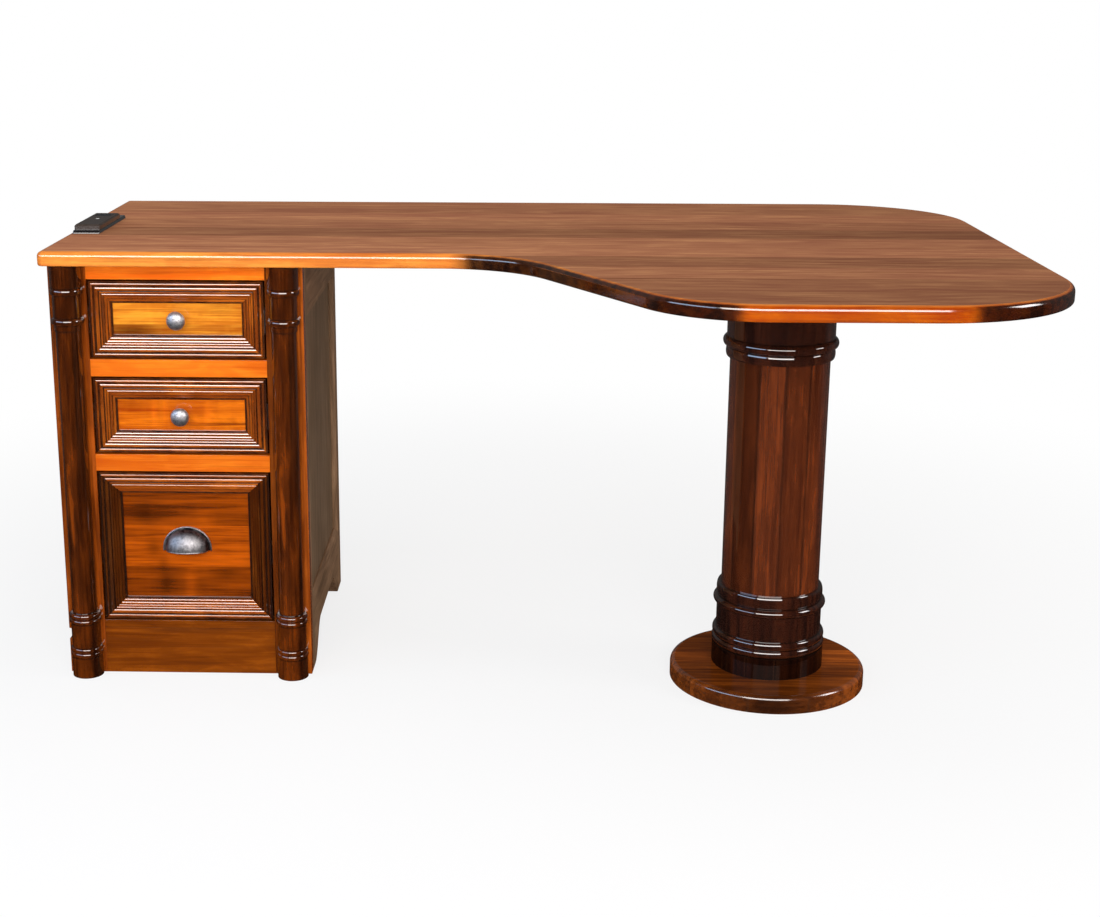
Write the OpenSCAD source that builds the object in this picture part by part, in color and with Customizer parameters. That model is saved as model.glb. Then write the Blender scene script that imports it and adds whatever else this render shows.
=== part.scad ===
// A pedestal desk: a free-form worktop carried by a three-drawer cabinet at the left
// and by a round turned pedestal at the right, with a charging hub on the top.
// Units are millimetres. +Z is up, the drawers face -Y, and the desk runs along X.
// The origin is on the floor, under the middle of the worktop's outline.

/* [Worktop] */
// Height of the worktop's upper face above the floor
desk_h = 762; // [740:1:780]
// Length of the worktop
top_l = 1645; // [1600:5:1800]
// Depth of the narrow end, over the drawers
narrow_d = 690; // [670:5:740]
// Depth of the wide end, over the round pedestal
wide_d = 1138; // [1100:2:1200]
// Thickness of the worktop
top_t = 25; // [22:1:32]
// Radius of the wide end's two corners
wide_r = 250; // [200:5:280]
// Radius of both bends of the curved front edge
bend_r = 200; // [150:5:220]
// Angle of the slanting stretch between the bends
bend_a = 60; // [50:1:70]
// Distance from the left end to the start of the first bend
curve_x = 672; // [640:2:700]
// Radius of the two square corners at the drawer end
end_r = 10; // [9.5:0.5:14]
// Radius of the worktop's upper edge
edge_top_r = 9; // [6:0.5:9]
// Radius of the worktop's lower edge
edge_low_r = 4; // [2:0.5:6]

/* [Cabinet] */
// Width of the cabinet
cab_w = 432; // [420:1:450]
// Depth of the cabinet
cab_d = 495; // [480:1:520]
// Overhang of the worktop past the cabinet's left side
side_over = 8; // [6:1:20]
// Distance of the face frame behind the worktop's narrow edge
face_set = 36; // [32:1:60]
// Thickness of the face frame
face_t = 20; // [18:1:22]
// Thickness of the two side frames
side_t = 20; // [18:1:24]
// Width of the face frame's stiles
stile_w = 64.5; // [62:0.5:70]
// Height of the face frame's top rail
top_rail_h = 27; // [24:1:32]
// Height of the rails between the drawers
mid_rail_h = 30; // [24:1:34]
// Height of the kick board under the lowest drawer
kick_h = 99; // [92:1:110]
// Height of the openings of the two upper drawers
small_open_h = 138; // [130:1:145]
// Visible width of a side frame's stiles
side_stile_w = 46; // [40:1:56]
// Height of a side frame's top rail
side_rail_h = 105; // [80:1:120]
// Height of the floor-level arch in the side frames
arch_h = 58; // [40:1:64]
// Height of the side frames' bottom rail above the floor
side_low_h = 129; // [122:1:140]
// Length of each foot that the arch leaves
foot_l = 57; // [50:1:70]
// Length of the ogee between a foot and the arch
ogee_l = 89; // [60:1:100]
// Thickness of the side panels
side_panel_t = 8; // [6:1:9]
// Distance of the side panels behind the side frames' outer faces
side_panel_set = 9; // [7:0.5:10]
// Width of the slope on the side frames' inner edges
side_slope_w = 9; // [6:0.5:12]
// Depth of that slope
side_slope_d = 6; // [4:0.5:6.5]
// Thickness of the back panel
back_t = 6; // [5:1:9]
// Thickness of the cabinet's floor
floor_t = 18; // [15:1:20]
// Width of the stretchers that the worktop is screwed to
stretcher_w = 80; // [60:1:100]
// Thickness of the stretchers
stretcher_t = 20; // [16:1:24]
// Radius of the notch in the left front edge
notch_r = 10; // [8:0.5:14]
// Height of the notch's middle above the floor
notch_z = 72.5; // [68:0.5:90]

/* [Corner columns] */
// Distance of a column's axis from the cabinet's side
column_in = 32.5; // [31:0.5:36]
// Distance of a column's axis in front of the face frame
column_proud = 8; // [4:0.5:9]
// Radius of a column's long shaft
column_r = 22; // [18:0.5:24]
// Radius of a column's foot and neck
column_foot_r = 27; // [26.5:0.5:27.5]
// Radius of the short drum above a column's foot
column_drum_r = 25.5; // [25:0.5:26]
// Radius of the short drum under a column's neck
upper_drum_r = 24.2; // [24:0.1:25]
// Outer radius of a column's beads
column_bead_r = 28; // [27:0.25:30]

/* [Drawers] */
// Gap round each drawer front
front_gap = 3; // [2:0.5:4]
// Thickness of a drawer front's moulded frame
front_t = 20; // [18:1:24]
// Width of the mouldings of a drawer front
moulding_w = 38.5; // [36:0.5:42]
// Distance of the front's flat panel behind its frame
panel_set = 10; // [9:0.5:11]
// Depth of the tongue by which the panel is held
panel_tongue = 8; // [5:0.5:9]
// Length of a drawer box
box_l = 450; // [430:1:455]
// Thickness of a drawer box's boards
box_t = 12; // [10:1:14]
// Thickness of a drawer's bottom
bottom_t = 5; // [4:0.5:8]
// Depth of the groove that holds a drawer's bottom
groove_d = 5; // [4:0.5:6]
// Height of an upper drawer's box
small_box_h = 100; // [85:1:110]
// Height of the file drawer's box
file_box_h = 215; // [190:1:230]

/* [Drawer slides] */
// Thickness of a drawer slide
slide_t = 12.7; // [12.5:0.1:14]
// Height of a slide's cabinet member
slide_h = 46; // [40:1:50]
// Thickness of a slide's sheet steel
slide_sheet = 1.2; // [1:0.1:1.6]
// Running gap between a slide's members
slide_gap = 0.3; // [0.25:0.05:0.5]

/* [Pulls] */
// Radius of a round knob
knob_r = 16; // [13:0.5:18]
// Length of a round knob
knob_l = 27; // [22:0.5:32]
// Half the width of the cup pull's rim
cup_r = 43; // [38:0.5:46]
// Height of the cup pull above its widest line
cup_rise = 39.5; // [36:0.5:43]
// Height of the cup pull below its widest line
cup_drop = 4.5; // [4:0.5:10]
// Distance of the cup pull's widest line below the middle of its drawer front
cup_low = 5; // [0:0.5:10]
// Depth of the cup pull
cup_d = 25; // [20:0.5:28]
// Wall of the cup pull
cup_wall = 2.5; // [2:0.25:3]
// Distance of each of the cup pull's screws from its middle
cup_screw_x = 27; // [24:0.5:28]
// Radius of the pulls' screws
pull_screw_r = 2; // [1.5:0.25:2.5]

/* [Round pedestal] */
// Distance of the pedestal's axis from the worktop's right end
ped_from_right = 396; // [360:2:430]
// Distance of the pedestal's axis from the wide end's front edge
ped_from_front = 501; // [440:2:560]
// Radius of the pedestal's shaft
shaft_r = 84.5; // [80:0.5:90]
// Wall of the pedestal's shaft
shaft_wall = 20; // [16:0.5:26]
// Number of staves that the shaft is glued up from
staves = 12; // [10:1:16]
// Radius of the collars' plain drums
collar_r = 91; // [90.5:0.5:94]
// Radius of the collars' rings
ring_r = 97.3; // [96:0.1:100]
// Radius of the beads that lead from the rings to the shaft
lead_r = 92; // [91:0.5:93.5]
// Height of the neck collar
neck_h = 154; // [140:1:170]
// Height of the neck collar's ring
neck_ring_h = 18; // [14:0.5:24]
// Height of the bead under the neck collar's ring
neck_lead_h = 18; // [14:0.5:24]
// Radius of the lower collar's foot
plinth_foot_r = 97; // [96:0.5:100]
// Height of the lower collar's foot
plinth_foot_h = 38; // [30:1:44]
// Height of each of the two beads on that foot
plinth_bead_h = 14; // [12:0.5:16]
// Height of the lower collar's plain waist
plinth_waist_h = 44.5; // [38:0.5:52]
// Height of the lower collar's ring
plinth_ring_h = 14.5; // [12:0.5:18]
// Height of the bead over the lower collar's ring
plinth_lead_h = 22; // [16:0.5:26]
// Radius of the base disc
base_r = 170; // [150:1:190]
// Thickness of the base disc
base_t = 31; // [27:1:36]
// Radius on the base disc's upper edge
base_round = 9; // [5:0.5:12]
// Thickness of the two plugs in the shaft's ends
plug_t = 25; // [20:1:30]
// Radius of the tie rod
rod_r = 5; // [4:0.5:6]
// Depth of the tie rod's hold in the worktop
rod_hold = 16; // [12:0.5:18]
// Depth of the nut's pocket under the base disc
pocket_d = 14; // [12:0.5:18]

/* [Charging hub] */
// Width of the hub's base plate
hub_w = 49; // [44:0.5:56]
// Length of the hub's base plate
hub_l = 210; // [190:1:230]
// Thickness of the hub's base plate
hub_base_t = 6; // [4:0.5:8]
// Height of the hub's cover
hub_cover_h = 9; // [7:0.5:12]
// Length of the hub's cover
hub_cover_l = 160; // [140:1:175]
// Distance of the hub's base plate from the worktop's left end
hub_in = 9; // [8:0.5:12]
// Distance of the hub's base plate from the worktop's narrow edge
hub_set = 210; // [190:1:230]
// Radius of the tube that the hub's cord goes down through
hub_tube_r = 9; // [7:0.5:10]
// Length of the hub's tube under the worktop
hub_tube_drop = 16; // [12:0.5:24]

/* [Fits] */
// Clearance of parts that are laid or slipped into place
fit_gap = 0.15; // [0.1:0.05:0.3]
// Width of a glued joint between boards, staves or mouldings
glue_line = 0.1; // [0.05:0.05:0.2]
// Clearance of a screw or a rod in its hole
screw_gap = 0.05; // [0.03:0.01:0.09]

/* [Hidden] */
$fn = 96;

case_colour = [0.72, 0.36, 0.12];
panel_colour = [0.80, 0.44, 0.16];
turned_colour = [0.30, 0.13, 0.06];
top_colour = [0.60, 0.33, 0.16];
inside_colour = [0.80, 0.66, 0.46];
pewter_colour = [0.50, 0.50, 0.50];
steel_colour = [0.72, 0.73, 0.75];
hub_colour = [0.05, 0.05, 0.06];

// The worktop's outline
left = -top_l / 2;
right = top_l / 2;
back = wide_d / 2;
front = -wide_d / 2;
narrow_front = back - narrow_d;
top_under = desk_h - top_t;
bend_tangent = bend_r * tan(bend_a / 2);
bend_step = wide_d - narrow_d;
bend_1_x = left + curve_x + bend_tangent;
bend_2_x = bend_1_x + bend_step / tan(bend_a);
// Each corner of the outline, anticlockwise from above: x, y and radius
corners = [
  [left, narrow_front, end_r],
  [bend_1_x, narrow_front, bend_r],
  [bend_2_x, front, bend_r],
  [right, front, wide_r],
  [right, back, wide_r],
  [left, back, end_r]
];
// Distance between an arc of the outline and its chords, at most
arc_sag = 0.1;
edge_low_steps = 3;
edge_top_steps = 5;
// Overshoot of a cut past the face that it starts from
over = 1;

// The cabinet's planes
cab_x0 = left + side_over;
cab_x1 = cab_x0 + cab_w;
cab_mid = (cab_x0 + cab_x1) / 2;
face_y = narrow_front + face_set;
cab_back = face_y + cab_d;
inner_y = face_y + face_t;
open_x0 = cab_x0 + stile_w;
open_w = cab_w - 2 * stile_w;
inside_w = cab_w - 2 * side_t;
back_set = 2;
back_y = cab_back - back_set - back_t;
side_z1 = top_under - side_rail_h;
side_front_y = face_y + side_stile_w;
side_back_y = cab_back - side_stile_w;
side_tongue = 8;
ogee_steps = 10;
notch_out = 0.5;
slope_plate_t = 0.1;

// Heights along a corner column
bead_steps = 8;
foot_top_z = 37;
low_bead_h = 9;
drum_top_z = 99;
mid_bead_h = 10;
neck_l = 39;
top_bead_h = 12;
upper_drum_l = 39;
step_l = 10;
column_step_out = 1.3;
column_step_r = column_r + column_step_out;

// The drawer openings, top drawer first: lower edge and height
open_1_z = top_under - top_rail_h - small_open_h;
open_2_z = open_1_z - mid_rail_h - small_open_h;
open_3_z = kick_h;
open_3_h = open_2_z - mid_rail_h - kick_h;
open_z = [open_1_z, open_2_z, open_3_z];
open_h = [small_open_h, small_open_h, open_3_h];
box_h = [small_box_h, small_box_h, file_box_h];
box_rise = 14;

// The drawers
front_y = face_y;
front_w = open_w - 2 * front_gap;
box_y = front_y + front_t;
box_w = open_w - 2 * slide_t;
box_x0 = cab_mid - box_w / 2;
bottom_rise = 8;
block_h = 50;
slide_back_gap = 1;
channel_w = slide_t - slide_back_gap;
file_bar_t = 3;
file_bar_h = 12;
// Each bead of the moulding, from its outer edge: start and end as shares of the width,
// and its crest's depth behind the front
beads = [
  [0, 0.18, 0], [0.18, 0.41, 0.6], [0.41, 0.585, 1.4],
  [0.585, 0.72, 3.2], [0.72, 0.86, 5], [0.86, 1, 6.8]
];

// The slides' members, counted out from the drawer's side of the opening
mid_web = slide_sheet + slide_gap;
mid_h = slide_h - 2 * (slide_sheet + slide_gap);
drawer_member_h = mid_h - 2 * (slide_sheet + slide_gap);
drawer_member_w = slide_t - mid_web - slide_sheet - slide_gap;

// The pulls
knob_stem_r = 6;
knob_foot_r = 9;
knob_foot_l = 3;
knob_head_l = 13;
knob_low_a = -30;
knob_step_a = 10;
cup_rim_w = 4;
cup_rim_t = 2.5;
cup_steps = 12;
cup_boss_r = 4;
screw_bite = 8;
screw_head_t = 2.5;
screw_head_share = 2.1;

// The pedestal
ped_x = right - ped_from_right;
ped_y = front + ped_from_front;
shaft_z0 = base_t;
shaft_in_r = shaft_r - shaft_wall;
rod_hole_gap = 0.3;
rod_hole_r = rod_r + rod_hole_gap;
nut_r = 9.5;
nut_t = 8;
pocket_r = 19;
groove_in = 2;
bead_out = 1;
insert_r = 8;
rod_tail = 2;

// The hub
hub_x = left + hub_in;
hub_y = narrow_front + hub_set;
hub_cover_in = 1.5;
hub_cover_set = 10;
hub_round = 2.5;
hub_port_w = 30;
hub_port_l = 34;
hub_port_d = 3;
hub_slot_w = 12;
hub_slot_d = 2;
hub_slot_h = 5;
hub_slot_pitch = 18;
hub_port_sink = 0.5;
hub_crown_t = 0.5;
hub_light_r = 3.5;
hub_light_d = 1;
hub_tube_in = 16;
hub_tube_x = cab_x0 + side_t + hub_tube_in;
hub_tube_y = hub_y + hub_l / 2;
hub_tube_wall = 2;
hub_tube_l = hub_tube_drop + top_t + hub_base_t;
hub_nut_r = 14;
hub_nut_t = 6;
hub_hole_gap = 0.4;

// Screws that hold the worktop to the stretchers
top_screw_r = 2.5;
top_screw_bite = 15;
top_screw_x = 90;

function unit(v) = v / norm(v);
function corner_at(i) = corners[(i + len(corners)) % len(corners)];
function point_at(i) = [corner_at(i)[0], corner_at(i)[1]];
function way_in(i) = unit(point_at(i) - point_at(i - 1));
function way_out(i) = unit(point_at(i + 1) - point_at(i));
function inward(d) = [-d[1], d[0]];
function is_convex(i) = way_in(i)[0] * way_out(i)[1] - way_in(i)[1] * way_out(i)[0] > 0;
function heading(d) = atan2(d[1], d[0]);
function turn(i) = acos(way_in(i) * way_out(i));
function radius_at(i) = corner_at(i)[2];
function arc_start(i) = point_at(i) - way_in(i) * radius_at(i) * tan(turn(i) / 2);
function bend_side(i) = is_convex(i) ? 1 : -1;
function arc_centre(i) = arc_start(i) + inward(way_in(i)) * radius_at(i) * bend_side(i);
function chord_turn(i) = 2 * acos(1 - arc_sag / radius_at(i));
// The points of one corner's arc, moved in from the outline's edge
function arc_points(i, inset) =
  let (
    first = heading(way_in(i)) - 90 * bend_side(i),
    steps = ceil(turn(i) / chord_turn(i)),
    step = bend_side(i) * turn(i) / steps,
    r = radius_at(i) - bend_side(i) * inset
  )
  [for (k = [0 : steps]) arc_centre(i) + r * [cos(first + k * step), sin(first + k * step)]];
// The worktop's outline: straight stretches that run into an arc at each corner
function outline_points(inset) = [for (i = [0 : len(corners) - 1]) each arc_points(i, inset)];

// The worktop's edge from its lower face to its upper face: distance in and height
function edge_rows() = concat(
  [for (k = [0 : edge_low_steps])
    let (a = 90 * k / edge_low_steps)
    [edge_low_r * (1 - sin(a)), edge_low_r * (1 - cos(a))]],
  [for (k = [0 : edge_top_steps])
    let (a = 90 * k / edge_top_steps)
    [edge_top_r * (1 - cos(a)), top_t - edge_top_r * (1 - sin(a))]]
);

// The number of points in the arcs before one corner's arc
function arc_first(i) = i == 0 ? 0 : arc_first(i - 1) + len(arc_points(i - 1, 0));

// Flat faces between the arcs of two corners that mirror each other front to back
function faces_between(i, j) = let (
    n = len(arc_points(i, 0)),
    near = arc_first(i),
    far = arc_first(j) + n - 1
  )
  [for (k = [0 : n - 2]) [near + k, near + k + 1, far - k - 1, far - k]];

// The slab's flat side: strips across both ends, and a fan from the back over the curved front
function flat_faces() = let (fan = arc_first(5) - 1)
  concat(
    faces_between(0, 5),
    [[fan, fan + 1, arc_first(1) - 1]],
    [for (k = [arc_first(1) - 1 : arc_first(3) - 1]) [fan, k, k + 1]],
    faces_between(3, 4)
  );

// A face seen from its other side, on the row of the edge whose points start at a number
function turned_face(face, start) = [for (k = [len(face) - 1 : -1 : 0]) start + face[k]];

// The worktop's slab with its rounded edges: the outline once for each row of the edge
module slab() {
  rows = edge_rows();
  n = len(outline_points(0));
  points = [for (row = rows) each [for (p = outline_points(row[0])) [p[0], p[1], top_under + row[1]]]];
  walls = [
    for (j = [0 : len(rows) - 2], i = [0 : n - 1])
      [j * n + i, (j + 1) * n + i, (j + 1) * n + (i + 1) % n, j * n + (i + 1) % n]
  ];
  upper = [for (face = flat_faces()) turned_face(face, len(points) - n)];
  polyhedron(points, concat(flat_faces(), walls, upper));
}

module desk_top() {
  color(top_colour)
    difference() {
      slab();
      translate([hub_tube_x, hub_tube_y, top_under - over])
        cylinder(r = hub_tube_r + hub_hole_gap, h = top_t + 2 * over);
      translate([ped_x, ped_y, top_under - over])
        cylinder(r = insert_r + fit_gap, h = rod_hold + rod_tail + over);
      at_top_screws()
        cylinder(r = top_screw_r + screw_gap, h = stretcher_t + top_screw_bite + over);
    }
}

// Repeats its children at the worktop's screws, from under the stretchers
module at_top_screws() {
  for (y = [inner_y + stretcher_w / 2, back_y - stretcher_w / 2]) {
    for (side = [-1, 1]) {
      translate([cab_mid + side * top_screw_x, y, top_under - stretcher_t]) children();
    }
  }
}

module top_screws() {
  color(steel_colour)
    at_top_screws() {
      cylinder(r = top_screw_r, h = stretcher_t + top_screw_bite);
      translate([0, 0, -screw_head_t]) cylinder(r = top_screw_r * screw_head_share, h = screw_head_t);
    }
}

// A flat plate with rounded corners
module round_plate(w, l, t, r) {
  linear_extrude(t) {
    translate([r, 0]) square([w - 2 * r, l]);
    translate([0, r]) square([w, l - 2 * r]);
    for (x = [r, w - r], y = [r, l - r]) {
      translate([x, y]) circle(r);
    }
  }
}

module hub_base() {
  color(hub_colour)
    difference() {
      translate([hub_x, hub_y, desk_h]) round_plate(hub_w, hub_l, hub_base_t, hub_round);
      translate([hub_tube_x, hub_tube_y, desk_h - over])
        cylinder(r = hub_tube_r + screw_gap, h = hub_base_t + 2 * over);
    }
}

// Moves its children to the hub cover's front left corner, on the base plate
module on_hub_cover() {
  translate([hub_x + hub_cover_in, hub_y + hub_cover_set, desk_h + hub_base_t]) children();
}

hub_cover_w = hub_w - 2 * hub_cover_in;
hub_port_x = (hub_cover_w - hub_port_w) / 2;
hub_port_y = hub_cover_l - hub_port_l - hub_cover_set;

module hub_cover() {
  color(hub_colour)
    on_hub_cover()
      difference() {
        hull() {
          round_plate(hub_cover_w, hub_cover_l, hub_cover_h - hub_round, hub_round, $fn = 24);
          translate([hub_round, hub_round, hub_cover_h - hub_crown_t])
            round_plate(
              hub_cover_w - 2 * hub_round, hub_cover_l - 2 * hub_round, hub_crown_t, hub_round, $fn = 24
            );
        }
        translate([hub_port_x, hub_port_y, hub_cover_h - hub_port_d])
          cube([hub_port_w, hub_port_l, hub_port_d + over]);
        translate([hub_cover_w / 2, hub_cover_l / 2, hub_cover_h - hub_light_d])
          cylinder(r = hub_light_r, h = hub_light_d + over);
      }
}

module hub_ports() {
  color(hub_colour)
    on_hub_cover()
      difference() {
        translate([hub_port_x + fit_gap, hub_port_y + fit_gap, hub_cover_h - hub_port_d])
          cube([hub_port_w - 2 * fit_gap, hub_port_l - 2 * fit_gap, hub_port_d - hub_port_sink]);
        for (side = [-1, 1]) {
          translate([
            hub_cover_w / 2 - hub_slot_w / 2,
            hub_port_y + hub_port_l / 2 + side * hub_slot_pitch / 2 - hub_slot_h / 2,
            hub_cover_h - hub_slot_d
          ])
            cube([hub_slot_w, hub_slot_h, hub_slot_d]);
        }
      }
}

module hub_indicator() {
  color("white")
    on_hub_cover()
      translate([hub_cover_w / 2, hub_cover_l / 2, hub_cover_h - hub_light_d])
        cylinder(r = hub_light_r - fit_gap, h = hub_light_d);
}

module hub_tube() {
  color(hub_colour)
    translate([hub_tube_x, hub_tube_y, top_under - hub_tube_drop])
      difference() {
        cylinder(r = hub_tube_r, h = hub_tube_l);
        translate([0, 0, -over]) cylinder(r = hub_tube_r - hub_tube_wall, h = hub_tube_l + 2 * over);
      }
}

module hub_nut() {
  color(hub_colour)
    translate([hub_tube_x, hub_tube_y, top_under - hub_nut_t])
      difference() {
        cylinder(r = hub_nut_r, h = hub_nut_t, $fn = 6);
        translate([0, 0, -over]) cylinder(r = hub_tube_r + screw_gap, h = hub_nut_t + 2 * over);
      }
}

// The thumb-sized notch through the left front corner's outer edge
module edge_notch() {
  translate([cab_x0 - notch_out, face_y - over, notch_z])
    rotate([-90, 0, 0]) cylinder(r = notch_r, h = side_stile_w + over);
}

module face_stile(x) {
  color(case_colour) translate([x, face_y, 0]) cube([stile_w, face_t, top_under]);
}

module face_stile_left() {
  difference() {
    face_stile(cab_x0);
    edge_notch();
  }
}

module face_stile_right() {
  face_stile(cab_x1 - stile_w);
}

// A rail of the face frame, between the stiles
module face_rail(z, h) {
  color(case_colour) translate([open_x0, face_y, z]) cube([open_w, face_t, h]);
}

module face_top_rail() {
  face_rail(top_under - top_rail_h, top_rail_h);
}

module face_mid_rails() {
  for (i = [0, 1]) {
    face_rail(open_z[i] - mid_rail_h, mid_rail_h);
  }
}

module kick_board() {
  face_rail(0, kick_h);
}

// The outline of one bead of a turning, from its lower edge to its upper edge
function bead_points(z0, z1, neck, out) = [
  for (k = [0 : bead_steps]) [
    neck + (out - neck) * sin(180 * k / bead_steps),
    (z0 + z1) / 2 - (z1 - z0) / 2 * cos(180 * k / bead_steps)
  ]
];

// The outline of a plain drum of a turning
function drum_points(z0, z1, r) = [[r, z0], [r, z1]];

// Half section of a corner column, from its axis outwards
module column_section() {
  low_bead_z = foot_top_z + 2 * low_bead_h;
  shaft_z = drum_top_z + 2 * mid_bead_h;
  neck_z = top_under - neck_l;
  upper_drum_z = neck_z - top_bead_h - upper_drum_l;
  step_z = upper_drum_z - top_bead_h;
  polygon(concat(
    [[0, 0]],
    drum_points(0, foot_top_z, column_foot_r),
    bead_points(foot_top_z, foot_top_z + low_bead_h, column_drum_r, column_bead_r),
    bead_points(foot_top_z + low_bead_h, low_bead_z, column_drum_r, column_bead_r),
    drum_points(low_bead_z, drum_top_z, column_drum_r),
    bead_points(drum_top_z, drum_top_z + mid_bead_h, column_step_r, column_bead_r),
    bead_points(drum_top_z + mid_bead_h, shaft_z, column_step_r, column_bead_r),
    drum_points(shaft_z, step_z - step_l, column_r),
    drum_points(step_z - step_l, step_z, column_step_r),
    bead_points(step_z, upper_drum_z, column_step_r, column_bead_r),
    drum_points(upper_drum_z, neck_z - top_bead_h, upper_drum_r),
    bead_points(neck_z - top_bead_h, neck_z, upper_drum_r, column_bead_r),
    drum_points(neck_z, top_under, column_foot_r),
    [[0, top_under]]
  ));
}

// A turned corner column, planed flat where it is glued to the face frame
module corner_column(x) {
  color(turned_colour)
    difference() {
      translate([x, face_y - column_proud, 0]) rotate_extrude() column_section();
      translate([x - 2 * column_foot_r, face_y, -over])
        cube([4 * column_foot_r, 2 * column_foot_r, top_under + 2 * over]);
    }
}

module corner_column_left() {
  corner_column(cab_x0 + column_in);
}

module corner_column_right() {
  corner_column(cab_x1 - column_in);
}

// Turns a shape made for the left side frame into the right one, for side 1
module on_side(side) {
  if (side > 0) {
    translate([2 * cab_mid, 0, 0]) mirror([1, 0, 0]) children();
  } else {
    children();
  }
}

// The space that a side panel fills, grown by a clearance
module side_panel_space(grow) {
  translate([
    cab_x0 + side_panel_set - grow,
    side_front_y - side_tongue - grow,
    side_low_h - side_tongue - grow
  ])
    cube([
      side_panel_t + 2 * grow,
      side_back_y - side_front_y + 2 * (side_tongue + grow),
      side_z1 - side_low_h + 2 * (side_tongue + grow)
    ]);
}

// The slope round a side panel: its wide end lies past the frame's outer face
module side_slope() {
  grow = side_slope_w * (side_slope_d + over) / side_slope_d;
  hull() {
    translate([cab_x0 - over, side_front_y - grow, side_low_h - grow])
      cube([slope_plate_t, side_back_y - side_front_y + 2 * grow, side_z1 - side_low_h + 2 * grow]);
    translate([cab_x0 + side_slope_d, side_front_y, side_low_h])
      cube([slope_plate_t, side_back_y - side_front_y, side_z1 - side_low_h]);
  }
}

module side_stiles(side) {
  color(case_colour)
    on_side(side)
      difference() {
        union() {
          translate([cab_x0, inner_y, 0]) cube([side_t, side_front_y - inner_y, top_under]);
          translate([cab_x0, side_back_y, 0]) cube([side_t, cab_back - side_back_y, top_under]);
        }
        side_panel_space(fit_gap);
        side_slope();
      }
}

module side_top_rail(side) {
  color(case_colour)
    on_side(side)
      difference() {
        translate([cab_x0, side_front_y, side_z1])
          cube([side_t, side_back_y - side_front_y, side_rail_h]);
        side_panel_space(fit_gap);
        side_slope();
      }
}

function ogee(share) = arch_h * (1 - cos(180 * share)) / 2;

// The arch under a side frame, seen from the side: along Y and up
module arch_area() {
  start = face_y + foot_l;
  stop = cab_back - foot_l;
  polygon(concat(
    [for (i = [0 : ogee_steps]) [start + ogee_l * i / ogee_steps, ogee(i / ogee_steps)]],
    [for (i = [0 : ogee_steps]) [stop - ogee_l + ogee_l * i / ogee_steps, ogee(1 - i / ogee_steps)]]
  ));
}

module side_bottom_rail(side) {
  color(case_colour)
    on_side(side)
      difference() {
        translate([cab_x0, side_front_y, 0])
          cube([side_t, side_back_y - side_front_y, side_low_h]);
        side_panel_space(fit_gap);
        side_slope();
        translate([cab_x0 - over, 0, 0])
          rotate([90, 0, 90]) linear_extrude(side_t + 2 * over) arch_area();
      }
}

module side_panel(side) {
  color(panel_colour) on_side(side) side_panel_space(0);
}

module side_left_stiles() {
  difference() {
    side_stiles(-1);
    edge_notch();
  }
}
module side_left_top_rail() { side_top_rail(-1); }
module side_left_bottom_rail() { side_bottom_rail(-1); }
module side_left_panel() { side_panel(-1); }
module side_right_stiles() { side_stiles(1); }
module side_right_top_rail() { side_top_rail(1); }
module side_right_bottom_rail() { side_bottom_rail(1); }
module side_right_panel() { side_panel(1); }

module back_panel() {
  color(inside_colour)
    translate([cab_x0 + side_t, back_y, kick_h - floor_t])
      cube([inside_w, back_t, top_under - kick_h + floor_t]);
}

module cabinet_floor() {
  color(inside_colour)
    translate([cab_x0 + side_t, inner_y, kick_h - floor_t])
      cube([inside_w, back_y - inner_y, floor_t]);
}

module top_stretchers() {
  color(inside_colour)
    difference() {
      for (y = [inner_y, back_y - stretcher_w]) {
        translate([cab_x0 + side_t, y, top_under - stretcher_t])
          cube([inside_w, stretcher_w, stretcher_t]);
      }
      at_top_screws()
        translate([0, 0, -over]) cylinder(r = top_screw_r + screw_gap, h = stretcher_t + 2 * over);
    }
}

// Height of the middle of a drawer's slides
function slide_z(i) = open_z[i] + box_rise + box_h[i] / 2;

module slide_blocks() {
  color(inside_colour)
    for (i = [0 : 2]) {
      for (side = [-1, 1]) {
        on_side(side)
          translate([cab_x0 + side_t, inner_y, slide_z(i) - block_h / 2])
            cube([stile_w - side_t, back_y - inner_y, block_h]);
      }
    }
}

// A channel of a drawer slide for the left side of the opening: its web stands at x,
// and its flanges run to x + w
module channel(x, w, h, flip) {
  web_x = flip ? x + w - slide_sheet : x;
  translate([web_x, 0, -h / 2]) cube([slide_sheet, box_l, h]);
  for (z = [-h / 2, h / 2 - slide_sheet]) {
    translate([x, 0, z]) cube([w, box_l, slide_sheet]);
  }
}

// Both slides of a drawer, with the children at the left edge of its opening
module at_slides(i) {
  for (side = [-1, 1]) {
    on_side(side) translate([open_x0, box_y, slide_z(i)]) children();
  }
}

module cabinet_slides() {
  color(steel_colour)
    for (i = [0 : 2]) {
      at_slides(i) channel(0, channel_w, slide_h, false);
    }
}

module mid_slides(i) {
  color(steel_colour) at_slides(i) channel(mid_web, channel_w - mid_web, mid_h, false);
}

module drawer_slides(i) {
  color(steel_colour)
    at_slides(i) channel(slide_t - drawer_member_w, drawer_member_w, drawer_member_h, true);
}

// Section of a drawer front's moulding: from its outer edge inwards, and back from its face
module moulding_section() {
  difference() {
    union() {
      for (b = beads) {
        x0 = b[0] * moulding_w;
        x1 = b[1] * moulding_w;
        r = (x1 - x0) / 2;
        translate([x0, b[2] + r]) square([x1 - x0, front_t - b[2] - r]);
        translate([x0 + r, b[2] + r]) circle(r, $fn = 48);
      }
    }
    translate([moulding_w - panel_tongue - fit_gap, panel_set])
      square([panel_tongue + over + fit_gap, front_t]);
  }
}

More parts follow.
